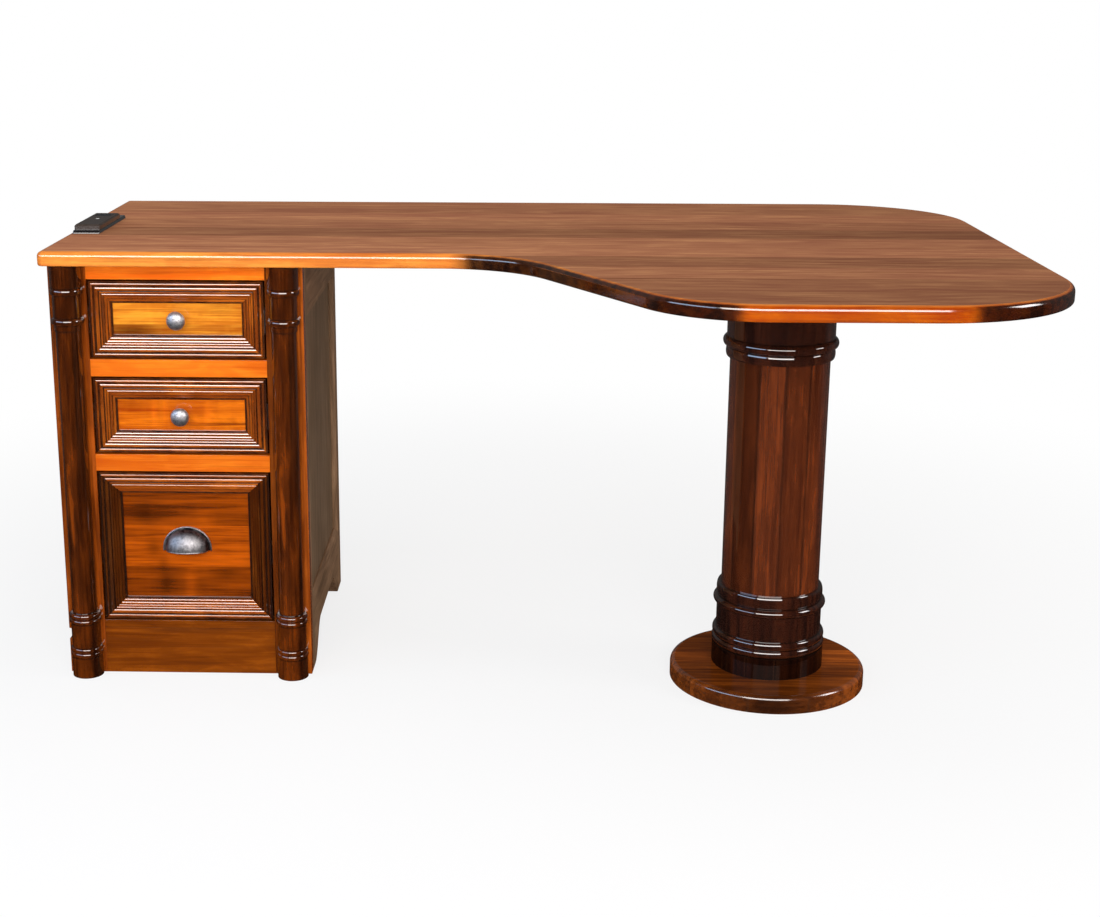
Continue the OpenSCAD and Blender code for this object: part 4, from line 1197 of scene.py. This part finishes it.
@dataclass
class DrawerPanel:
    """The flat panel of a drawer front, glued up of boards.

    tops and shades hold the height of each board's upper edge and its change of tone. A patch of the
    figure is its place from the middle of the lower edge, its width and height, and its change of tone.
    """

    number: int
    low: float
    finish: WoodFinish
    tops: tuple
    shades: tuple
    patches: tuple
    x: float = FRONT_X
    width: float = 236.0
    y: float = PANEL_Y
    thick: float = 10.0
    grid: tuple = (13, 49)
    tone_step: float = 0.01

    def figure(self, x: Array, z: Array) -> Array:
        """The figure: the sum of amount * exp(-((x - x0) / wide) ** 2 - ((z - z0) / tall) ** 2)."""
        x0, z0, wide, tall, amount = np.array(self.patches).T[:, :, None, None]
        return np.sum(amount * np.exp(-((x - x0) / wide) ** 2 - ((z - z0) / tall) ** 2), axis=0)

    def strip(self, low: float, high: float, shade: float, tone: float) -> Skin:
        """One board: a grid for its face, carried back by its thickness along the grid's border.

        Args:
            low: height of its lower edge above the panel's.
            high: height of its upper edge.
            shade: how much lighter its wood is.
            tone: its tone's number.

        Returns:
            The board.
        """
        rows, columns = self.grid
        x, z = np.meshgrid(np.linspace(-0.5, 0.5, columns) * self.width, np.linspace(low, high, rows))
        tint = shade + self.figure(x, z)
        skin = sheet(np.stack([self.x + x, np.full_like(x, self.y), self.low + z], axis=-1), shade=tint)
        rim = border(x.shape)
        back = x.size + np.arange(len(rim))
        sides = np.stack([rim, back, np.roll(back, -1), np.roll(rim, -1)], axis=-1)
        points = np.concatenate([skin.points, skin.points[rim] + (0.0, self.thick, 0.0)])
        shades = np.concatenate([skin.values["shade"], skin.values["shade"][rim]])
        return Skin(
            points=points, quads=np.concatenate([skin.quads, sides]), loops=[back[::-1]],
            uv=points[:, [0, 2]] * MM, values={"tone": np.full(len(points), tone), "shade": shades},
        )

    def make(self, shop: Shop) -> None:
        """Builds the panel's boards.

        Args:
            shop: makes and dresses the pieces.
        """
        boards = [
            self.strip(low, high, shade, self.number + self.tone_step * k)
            for k, (low, high, shade) in enumerate(zip((0.0,) + self.tops[:-1], self.tops, self.shades))
        ]
        body = f"drawer_{self.number}"
        name, node = body + "_panel_boards", body + "_panel"
        shop.place(name, joined(boards), node, "panel_wood", self.finish, body)


@dataclass
class CupPull:
    """A cast cup pull: a domed shell with a flat rim and a rolled lower lip."""

    x: float = FRONT_X
    y: float = PANEL_Y
    z: float = 231.5
    half: float = 43.0
    rise: float = 39.5
    drop: float = 4.5
    depth: float = 25.0
    wall: float = 2.2
    rim: float = 4.0
    rim_t: float = 2.5
    rim_over: float = 0.6
    lip_r: float = 1.5
    tip: float = 0.03
    lip_from: int = 6
    sections: int = 80
    steps: int = 32
    rim_steps: int = 96
    lip_sides: int = 12
    # patina and a painted dark reflection, deepest near the panel
    glaze: tuple = (1.9, 11.0, 0.45, 0.97)
    glaze_inside: float = 0.9

    def shell(self, wall: float) -> Array:
        """The shell's points: for each x = a * cos t, a half ellipse from the lower lip over to the panel.

        Across it y = -d * sin t * cos w and z = b * sin t * sin w, where w starts at the height of the lip.

        Args:
            wall: how far the shell lies inside the outer one.

        Returns:
            The points, one row for each section.
        """
        a, b, d = self.half - self.rim - wall, self.rise - self.rim - wall, self.depth - wall
        t = np.linspace(self.tip, math.pi - self.tip, self.sections + 1)[:, None]
        start = -np.arcsin(np.clip((self.drop - self.lip_r) / (b * np.sin(t)), 0, 1))
        w = start + (math.pi / 2 - start) * np.linspace(0, 1, self.steps + 1)
        return np.stack([
            self.x + a * np.cos(t) + 0 * w,
            self.y - d * np.sin(t) * np.cos(w),
            self.z + b * np.sin(t) * np.sin(w),
        ], axis=-1)

    def dome(self) -> Skin:
        """The outer and the inner shell, joined round their borders.

        Returns:
            The dome, darker towards the panel: patina and a painted dark reflection.
        """
        outer, inner = sheet(self.shell(0.0)), sheet(self.shell(self.wall))
        size = len(outer.points)
        rim = border((self.sections + 1, self.steps + 1))
        sides = np.stack([rim, np.roll(rim, -1), np.roll(rim, -1) + size, rim + size], axis=-1)
        # patina and a painted dark reflection, growing towards the panel
        most, reach, low, high = self.glaze
        glaze = np.clip(most - (self.y - outer.points[:, 1]) / reach, low, high)
        return Skin(
            points=np.concatenate([outer.points, inner.points]),
            quads=np.concatenate([outer.quads[:, ::-1], inner.quads + size, sides]),
            values={"glaze": np.concatenate([glaze, np.full(size, self.glaze_inside)])},
        )

    def swept(self, path: Array, wide: Array, section: Array) -> Skin:
        """A section carried along a path: path + wide * s + (0, -1, 0) * h.

        Args:
            path: the path's points.
            wide: the direction of the section's width at each point.
            section: rows of width s, height h off the panel and glaze, round the section.

        Returns:
            The bar, closed at both ends.
        """
        s, h, glaze = section.T
        points = path[:, None, :] + wide[:, None, :] * s[:, None] - np.array([0.0, 1.0, 0.0]) * h[:, None]
        return tube(points, glaze=glaze)

    def flange(self) -> Skin:
        """The rim: a rounded outer bead and a dark groove beside the dome, along an ellipse.

        Returns:
            The rim.
        """
        low = math.asin(self.drop / self.rise)
        u = np.linspace(-low, math.pi + low, self.rim_steps + 1)
        path = np.stack([
            self.x + self.half * np.cos(u), np.full_like(u, self.y), self.z + self.rise * np.sin(u),
        ], axis=-1)
        wide = np.stack([-np.cos(u), np.zeros_like(u), -np.sin(u)], axis=-1)
        inner = self.rim + self.rim_over
        section = np.array([
            [0.0, 0.0, 0.5], [0.0, 0.5, 0.2], [0.4, 0.85, 0.0], [1.2, 1.0, 0.0], [1.9, 0.8, 0.3],
            [2.4, 0.45, 1.0], [inner, 0.4, 1.0], [inner, 0.0, 1.0],
        ]) * [1.0, self.rim_t, 1.0]
        return self.swept(path, wide, section)

    def lip(self) -> Skin:
        """The rolled lower lip: a round bar along the shell's lower border.

        Returns:
            The lip.
        """
        edge = self.shell(self.wall / 2)[self.lip_from:-self.lip_from, 0, :]
        a = np.arange(self.lip_sides) * 2 * math.pi / self.lip_sides
        up = np.tile([0.0, 0.0, 1.0], (len(edge), 1))
        return self.swept(edge, up, self.lip_r * np.stack([np.cos(a), np.sin(a), 0 * a], axis=1))

    def make(self, shop: Shop) -> None:
        """Builds the cup pull.

        Args:
            shop: makes and dresses the pieces.
        """
        skin = joined([self.dome(), self.flange(), self.lip()])
        node = "drawer_3_cup_pull"
        shop.place("cast_cup_pull", skin, node, "pewter", PEWTER, "drawer_3", sharp_above=50, weld=True)


@dataclass
class Knob:
    """A round cast knob: a turned stem, as rows of radius, distance and glaze, and a domed head."""

    number: int
    z: float
    x: float = FRONT_X
    panel_y: float = PANEL_Y
    head_r: float = 16.0
    head_y: float = 14.0
    head_from: float = math.radians(-38)
    head_steps: int = 23
    length: float = 27.0
    segments: int = 64
    stem: tuple = (
        (0.0, 0.0, 0.0), (9.0, 0.0, 1.0), (9.0, 2.0, 0.3), (8.0, 3.0, 0.6), (7.0, 4.2, 1.0), (6.0, 7.0, 1.0),
        (6.8, 11.0, 1.0),
    )

    def make(self, shop: Shop) -> None:
        """Builds the knob: a lathe shape laid down to point at the front.

        Args:
            shop: makes and dresses the pieces.
        """
        a = np.linspace(self.head_from, math.pi / 2, self.head_steps + 1)
        share = (np.sin(a) - math.sin(self.head_from)) / (1 - math.sin(self.head_from))
        out = self.head_y + (self.length - self.head_y) * share
        dome = np.stack([self.head_r * np.cos(a), out, 0 * a], axis=1)
        skin = lathe(np.concatenate([self.stem, dome]), (0.0, 0.0), self.segments, False)
        x, y, z = skin.points.T
        skin.points = np.stack([self.x + x, self.panel_y - z, self.z + y], axis=1)
        body = f"drawer_{self.number}"
        name, node = body + "_cast_knob", body + "_knob"
        shop.place(name, skin, node, "pewter", PEWTER, body, sharp_above=50, weld=True)


@dataclass
class Pedestal:
    """The staved shaft with its turned collars on a round base disc."""

    x: float = 426.5
    y: float = -68.0
    top: float = UNDER_TOP
    shaft_r: float = 84.5
    wall: float = 20.0
    staves: int = 12
    stave_steps: int = 12
    shades: tuple = (0.0, -0.15, 0.05, -0.1, 0.1, -0.05, 0.0, -0.45, 0.25, -0.05, 0.08, -0.1)
    joint: float = 0.1
    joint_glaze: float = 0.7
    collar_gap: float = 0.15
    collar_r: float = 91.0
    collar_segments: int = 160
    ring_r: float = 97.3
    lead_r: float = 92.0
    foot_r: float = 97.0
    foot_bead_r: float = 98.0
    groove: float = 2.0
    neck_heights: tuple = (583, 601, 619, UNDER_TOP)
    foot_heights: tuple = (DISC_TOP, 69, 83, 97, 141.5, 156, 178)
    base_r: float = 170.0
    base_t: float = DISC_TOP
    base_round: float = 9.0
    base_steps: int = 10
    base_segments: int = 192
    rod_r: float = 5.3
    pocket_r: float = 19.0
    pocket_top: float = 14.0
    foot_shade: float = -0.75
    # painted shade at the disc's front and painted light to its right
    painted_front_shade: float = -0.7
    painted_right_light: float = 0.45
    neck_shade: float = 0.4

    def stave(self, number: int) -> Skin:
        """One stave: a slice of the ring between two radii, carried up the shaft.

        Args:
            number: its place round the shaft.

        Returns:
            The stave.
        """
        step = 2 * math.pi / self.staves
        n = self.stave_steps + 1
        a = number * step + np.linspace(0, step - self.joint / self.shaft_r, n)
        radius = np.repeat([self.shaft_r, self.shaft_r - self.wall], n)
        z = np.array([[self.base_t], [self.top]])
        edge = np.zeros(2 * n)
        edge[[0, n - 1]] = self.joint_glaze
        across = np.concatenate([a, a[::-1] + 1]) * self.shaft_r
        points = around((self.x, self.y), radius, np.concatenate([a, a[::-1]]), z)
        return tube(points, (z, across), glaze=edge, tone=number, shade=self.shades[number])

    def collar(self, outline: Array) -> Skin:
        """A collar: its outline upwards, closed down its bore.

        Args:
            outline: rows of radius, height and glaze.

        Returns:
            The collar.
        """
        bore = self.shaft_r + self.collar_gap
        low, high = [[bore, outline[0, 1], 0.0]], [[bore, outline[-1, 1], 0.0]]
        profile = np.concatenate([low, outline, high])
        return lathe(profile, (self.x, self.y), self.collar_segments, True, self.ring_r)

    def disc(self) -> Skin:
        """The base disc, with a rounded edge and a bore with a pocket for the tie rod's nut.

        Returns:
            The disc, with painted shade in front and painted light to the right.
        """
        a = np.linspace(0, math.pi / 2, self.base_steps + 1)
        r = self.base_round
        rounding = np.stack([self.base_r - r + r * np.cos(a), self.base_t - r + r * np.sin(a), 0 * a], axis=1)
        profile = np.concatenate([
            [[self.rod_r, self.pocket_top, 0.0], [self.pocket_r, self.pocket_top, 0.0]],
            [[self.pocket_r, 0.0, 0.0], [self.base_r, 0.0, 0.0]],
            rounding, [[self.rod_r, self.base_t, 0.0]],
        ])
        skin = lathe(profile, (self.x, self.y), self.base_segments, True)
        ahead = np.clip((self.y - skin.points[:, 1]) / self.base_r, 0, 1)
        beyond = np.clip((skin.points[:, 0] - self.x) / self.base_r, 0, 1)
        skin.values["satin"] = on_top(skin, self.base_t)
        # painted shade in front and painted light to the right
        skin.values["shade"] = self.painted_front_shade * ahead ** 2 + self.painted_right_light * beyond
        return skin

    def make(self, shop: Shop) -> None:
        """Builds the shaft, its collars and the base disc.

        Args:
            shop: makes and dresses the pieces.
        """
        shaft = joined([self.stave(k) for k in range(self.staves)])
        shop.place("staved_shaft", shaft, "shaft_staves", "shaft_wood", SHAFT_WOOD)
        low_groove, high_groove = self.collar_r - self.groove, self.collar_r + self.groove
        lead, ring = (bead, low_groove, self.lead_r), (bead, low_groove, self.ring_r)
        neck = self.collar(turning(self.neck_heights, (lead, ring, (drum, self.collar_r))))
        neck.values["shade"] = np.full(len(neck.points), self.neck_shade)
        shop.place("neck_turning", neck, "neck_collar", "turned_wood", TURNED_WOOD, sharp_above=50)
        foot = self.collar(turning(self.foot_heights, (
            (drum, self.foot_r), (bead, high_groove, self.foot_bead_r), (bead, high_groove, self.ring_r),
            (drum, self.collar_r), ring, lead,
        )))
        foot.values["satin"] = (foot.points[:, 2] <= self.foot_heights[1]).astype(float)
        foot.values["shade"] = self.foot_shade * foot.values["satin"]
        shop.place("plinth_turning", foot, "plinth_collar", "turned_wood", TURNED_WOOD, sharp_above=50)
        shop.place("foot_disc", self.disc(), "base_disc", "top_wood", DISC_WOOD, sharp_above=40)


@dataclass
class ChargingHub:
    """The charging hub's base plate, whose edge is given as rows of inset and height."""

    low: tuple = (-813.5, 89.0)
    high: tuple = (-764.5, 299.0)
    z: float = UNDER_TOP + TOP_T
    corner: float = 2.5
    corner_steps: int = 6
    edge: tuple = ((0.3, 0.0), (0.0, 0.3), (0.1, 0.9), (1.4, 5.2), (2.4, 6.0))

    def make(self, shop: Shop) -> None:
        """Builds the base plate, with a broad chamfer round its upper edge."""
        base = plate(oblong(self.low, self.high, self.corner), np.array(self.edge), self.corner_steps, self.z)
        shop.place("hub_plate", base, "hub_base", "black_plastic", GLOSS_BLACK, sharp_above=50)


@dataclass
class CarriedOver:
    """The CAD nodes whose shape is right, by their finish."""

    nodes: tuple = (
        (SATIN_BLACK, ("hub_cover",)),
        (PORT_PLASTIC, ("hub_ports", "hub_tube", "hub_nut")),
        (INDICATOR, ("hub_indicator",)),
        (LEFT_STILE_WOOD, ("face_stile_left",)),
        (SIDE_UPRIGHT_PAINTED_SHEEN, ("side_left_stiles", "side_right_stiles")),
        (SIDE_RAIL_PAINTED_SHEEN, ("side_left_top_rail", "side_right_top_rail", "side_left_bottom_rail",
                     "side_right_bottom_rail")),
        (SIDE_PANEL_PAINTED_SHEEN, ("side_left_panel", "side_right_panel")),
        (BACK_WOOD, ("back_panel",)),
        (INSIDE_WOOD, ("cabinet_floor", "top_stretchers", "slide_blocks", "shaft_plugs")),
        (STEEL, ("cabinet_slides", "top_screws", "tie_rod", "rod_fasteners", "drawer_1_pull_screw",
                 "drawer_2_pull_screw", "drawer_3_pull_screws", "drawer_3_file_rails")),
    )
    drawer_nodes: tuple = ((INSIDE_WOOD, ("box", "bottom")), (STEEL, ("slides", "mid_slides")))

    def make(self, shop: Shop) -> None:
        """Dresses the nodes.

        Args:
            shop: makes and dresses the pieces.
        """
        every = [("", finish, parts) for finish, parts in self.nodes]
        for number in (1, 2, 3):
            every += [(f"drawer_{number}_", finish, parts) for finish, parts in self.drawer_nodes]
        for start, finish, parts in every:
            for part in parts:
                shop.dress(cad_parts[start + part], finish)
                LOG.info("%s: carried over", start + part)


# Studio

@dataclass(frozen=True)
class Lamp:
    """A softbox: where it stands, what it looks at, its width and height, its power and its colour."""

    name: str
    place: tuple
    aim: tuple
    size: tuple
    power: float
    colour: tuple
    mirrored: bool = True

    def make(self) -> None:
        """Sets the softbox up."""
        data = bpy.data.lights.new(self.name, "AREA")
        data.shape = "RECTANGLE"
        data.size, data.size_y = self.size
        data.energy = self.power
        data.color = self.colour
        made = bpy.data.objects.new(self.name, data)
        made.visible_glossy = self.mirrored
        turn = (Vector(self.aim) - Vector(self.place)).to_track_quat("-Z", "Y").to_matrix().to_4x4()
        made.matrix_world = Matrix.Translation(self.place) @ turn
        bpy.context.scene.collection.objects.link(made)


@dataclass
class Studio:
    """The floor, the lights, the world and the camera.

    Each run is two places and the brightness at each: of the room from front to back and from left to
    right, of the floor outwards as the camera sees it, and of the floor from front to back in gloss.
    """

    camera_place: tuple = (-0.00795, -2.98212, 1.2058)
    pitch: float = math.radians(14.892856)
    yaw: float = math.radians(1.487358)
    roll: float = math.radians(0.099693)
    lens: float = 57.09
    sensor: float = 36.0
    shift: tuple = (0.0636, -0.0168)
    soft: float = 0.4
    floor_reach: float = 40000.0
    floor_depth: float = 10.0
    floor_rough: float = 0.9
    floor_tones: tuple = ((0.86, 0.86, 0.86, 1), (0.88, 0.88, 0.88, 1))
    cloud_scale: tuple = (3.0, 3.0, 3.0)
    room_depth_run: tuple = (-0.2, 0.6, 0.01, 0.1)
    room_side_run: tuple = (-0.5, 0.5, 1.2, 0.8)
    floor_white_run: tuple = (0.9, 2.4, 0.8, 1.0)
    floor_gloss_run: tuple = (-0.1, 1.2, 0.006, 0.06)
    lamps: tuple = (
        Lamp("key", (-0.1, -3.7, 1.75), (-0.1, 0.0, 0.6), (3.8, 1.7), 138.0, (1.0, 0.96, 0.93)),
        Lamp("above", (0.1, -0.4, 3.0), (0.1, 0.0, 0.7), (3.2, 1.6), 16.0, (1.0, 0.96, 0.92), False),
        Lamp("right", (3.2, -0.8, 1.8), (0.2, -0.1, 0.4), (1.0, 1.2), 30.0, (1.0, 0.95, 0.95)),
        Lamp("window", (-3.1, -2.2, 1.6), (0.0, -0.1, 0.5), (3.2, 1.1), 45.0, (0.5, 0.7, 1.0)),
    )

    def camera(self) -> None:
        """Sets the camera up: looks along (-sin yaw cos pitch, cos yaw cos pitch, -sin pitch)."""
        level = Vector((-math.sin(self.yaw), math.cos(self.yaw), 0))
        ahead = level * math.cos(self.pitch) - Vector((0, 0, math.sin(self.pitch)))
        right = Vector((math.cos(self.yaw), math.sin(self.yaw), 0))
        up = right.cross(ahead)
        turned = right * math.cos(self.roll) + up * math.sin(self.roll)
        upright = -right * math.sin(self.roll) + up * math.cos(self.roll)
        data = bpy.data.cameras.new("camera")
        data.sensor_width = self.sensor
        data.lens = self.lens
        data.shift_x, data.shift_y = self.shift
        made = bpy.data.objects.new("camera", data)
        basis = Matrix((turned, upright, -ahead)).transposed().to_4x4()
        made.matrix_world = Matrix.Translation(self.camera_place) @ basis
        bpy.context.scene.collection.objects.link(made)
        bpy.context.scene.camera = made

    def world(self) -> None:
        """A soft even world that the camera sees as the white background, and gloss as a dim room."""
        made = bpy.data.worlds.new("studio")
        made.use_nodes = True
        bpy.context.scene.world = made
        n = Nodes(made.node_tree)
        path = n.add("ShaderNodeLightPath").outputs
        way = n.parts(n.add("ShaderNodeTexCoord").outputs["Generated"])
        behind = n.span(way[1], *self.room_depth_run)
        sweep = n.math("MULTIPLY", behind, n.span(way[0], *self.room_side_run))
        seen = n.math("MAXIMUM", path["Is Glossy Ray"], path["Is Transmission Ray"])
        soft = n.math("MULTIPLY", n.math("SUBTRACT", 1.0, seen), self.soft)
        shown = n.math("ADD", soft, n.math("MULTIPLY", seen, sweep))
        n.fill(made.node_tree.nodes["Background"], {
            "Color": (1, 1, 1, 1), "Strength": n.math("MAXIMUM", shown, path["Is Camera Ray"]),
        })

    def floor(self) -> None:
        """A pale floor that looks white and keeps the desk's shadow."""
        reach = self.floor_reach
        rows = np.array([[0.0, -self.floor_depth], [0.0, 0.0]])
        made = build("floor", plate(oblong((-reach, -reach), (reach, reach), 1.0), rows, 1))
        material, n, shader = new_material("pale_floor")
        place = n.place()
        patchy = n.noise(place, self.cloud_scale, 2.0)
        n.fill(shader, {
            "Base Color": n.blend(patchy, *self.floor_tones),
            "Roughness": self.floor_rough, "Specular IOR Level": 0.0,
        })
        path = n.add("ShaderNodeLightPath").outputs
        out = n.add("ShaderNodeVectorMath", {0: place}, operation="LENGTH").outputs["Value"]
        white = n.span(out, *self.floor_white_run)
        mirrored = n.math("MAXIMUM", path["Is Glossy Ray"], path["Is Transmission Ray"])
        dim = n.math("MULTIPLY", mirrored, n.span(n.parts(place)[1], *self.floor_gloss_run))
        glow = n.add("ShaderNodeEmission", {"Strength": n.math("ADD", path["Is Camera Ray"], dim)})
        share = n.math("MAXIMUM", mirrored, n.math("MULTIPLY", path["Is Camera Ray"], white))
        mix = n.add("ShaderNodeMixShader", {0: share, 1: shader.outputs[0], 2: glow.outputs[0]})
        n.fill(material.node_tree.nodes["Material Output"], {"Surface": mix.outputs[0]})
        made.data.materials.append(material)

    def make(self) -> None:
        """Builds the whole studio."""
        self.camera()
        self.world()
        self.floor()
        for lamp in self.lamps:
            lamp.make()
        bpy.context.scene.view_settings.view_transform = "Standard"


def main() -> None:
    """Builds the studio and every sub-assembly in order."""
    logging.basicConfig(level=logging.INFO, format="%(name)s: %(message)s")
    shop = Shop()
    Studio().make()
    parts = (
        Worktop(),
        CornerColumn("corner_column_left", -782.0),
        CornerColumn("corner_column_right", -415.0, level=-0.5),
        FaceFrame(),
        DrawerFront(1, 575.0, 707.0, -0.15, 0.0),
        DrawerFront(2, 407.0, 539.0, -0.25, 0.1),
        DrawerFront(3, 102.0, 371.0, -0.8, 0.45),
        DrawerPanel(
            1, 605.5, PANEL_1_WOOD, (26.0, 71.0), (-0.12, 0.05),
            ((-80.0, 14.0, 50.0, 12.0, -0.6), (75.0, 55.0, 30.0, 14.0, -0.2), (-30.0, 45.0, 40.0, 14.0, 0.1)),
        ),
        DrawerPanel(
            2, 437.5, PANEL_2_WOOD, (71.0,), (0.0,),
            ((-90.0, 55.0, 30.0, 12.0, -0.25), (-48.0, 36.0, 5.0, 22.0, 0.3), (-28.0, 40.0, 4.0, 20.0, 0.25),
             (46.0, 34.0, 8.0, 20.0, 0.2), (84.0, 20.0, 22.0, 10.0, -0.2)),
        ),
        DrawerPanel(
            3, 132.5, PANEL_3_WOOD, (64.0, 140.0, 208.0), (-0.47, -0.1, -0.42),
            ((-60.0, 98.0, 12.0, 20.0, -0.35), (-44.0, 72.0, 9.0, 14.0, -0.3), (2.0, 30.0, 10.0, 26.0, 0.4),
             (-40.0, 34.0, 14.0, 20.0, -0.3), (70.0, 52.0, 26.0, 10.0, -0.25), (60.0, 90.0, 40.0, 26.0, 0.12),
             (-70.0, 160.0, 22.0, 26.0, -0.25), (30.0, 150.0, 16.0, 22.0, 0.2)),
        ),
        CupPull(),
        Knob(1, 641.0),
        Knob(2, 473.0),
        Pedestal(),
        ChargingHub(),
        CarriedOver(),
    )
    for part in parts:
        part.make(shop)


if __name__ == "__main__":
    main()
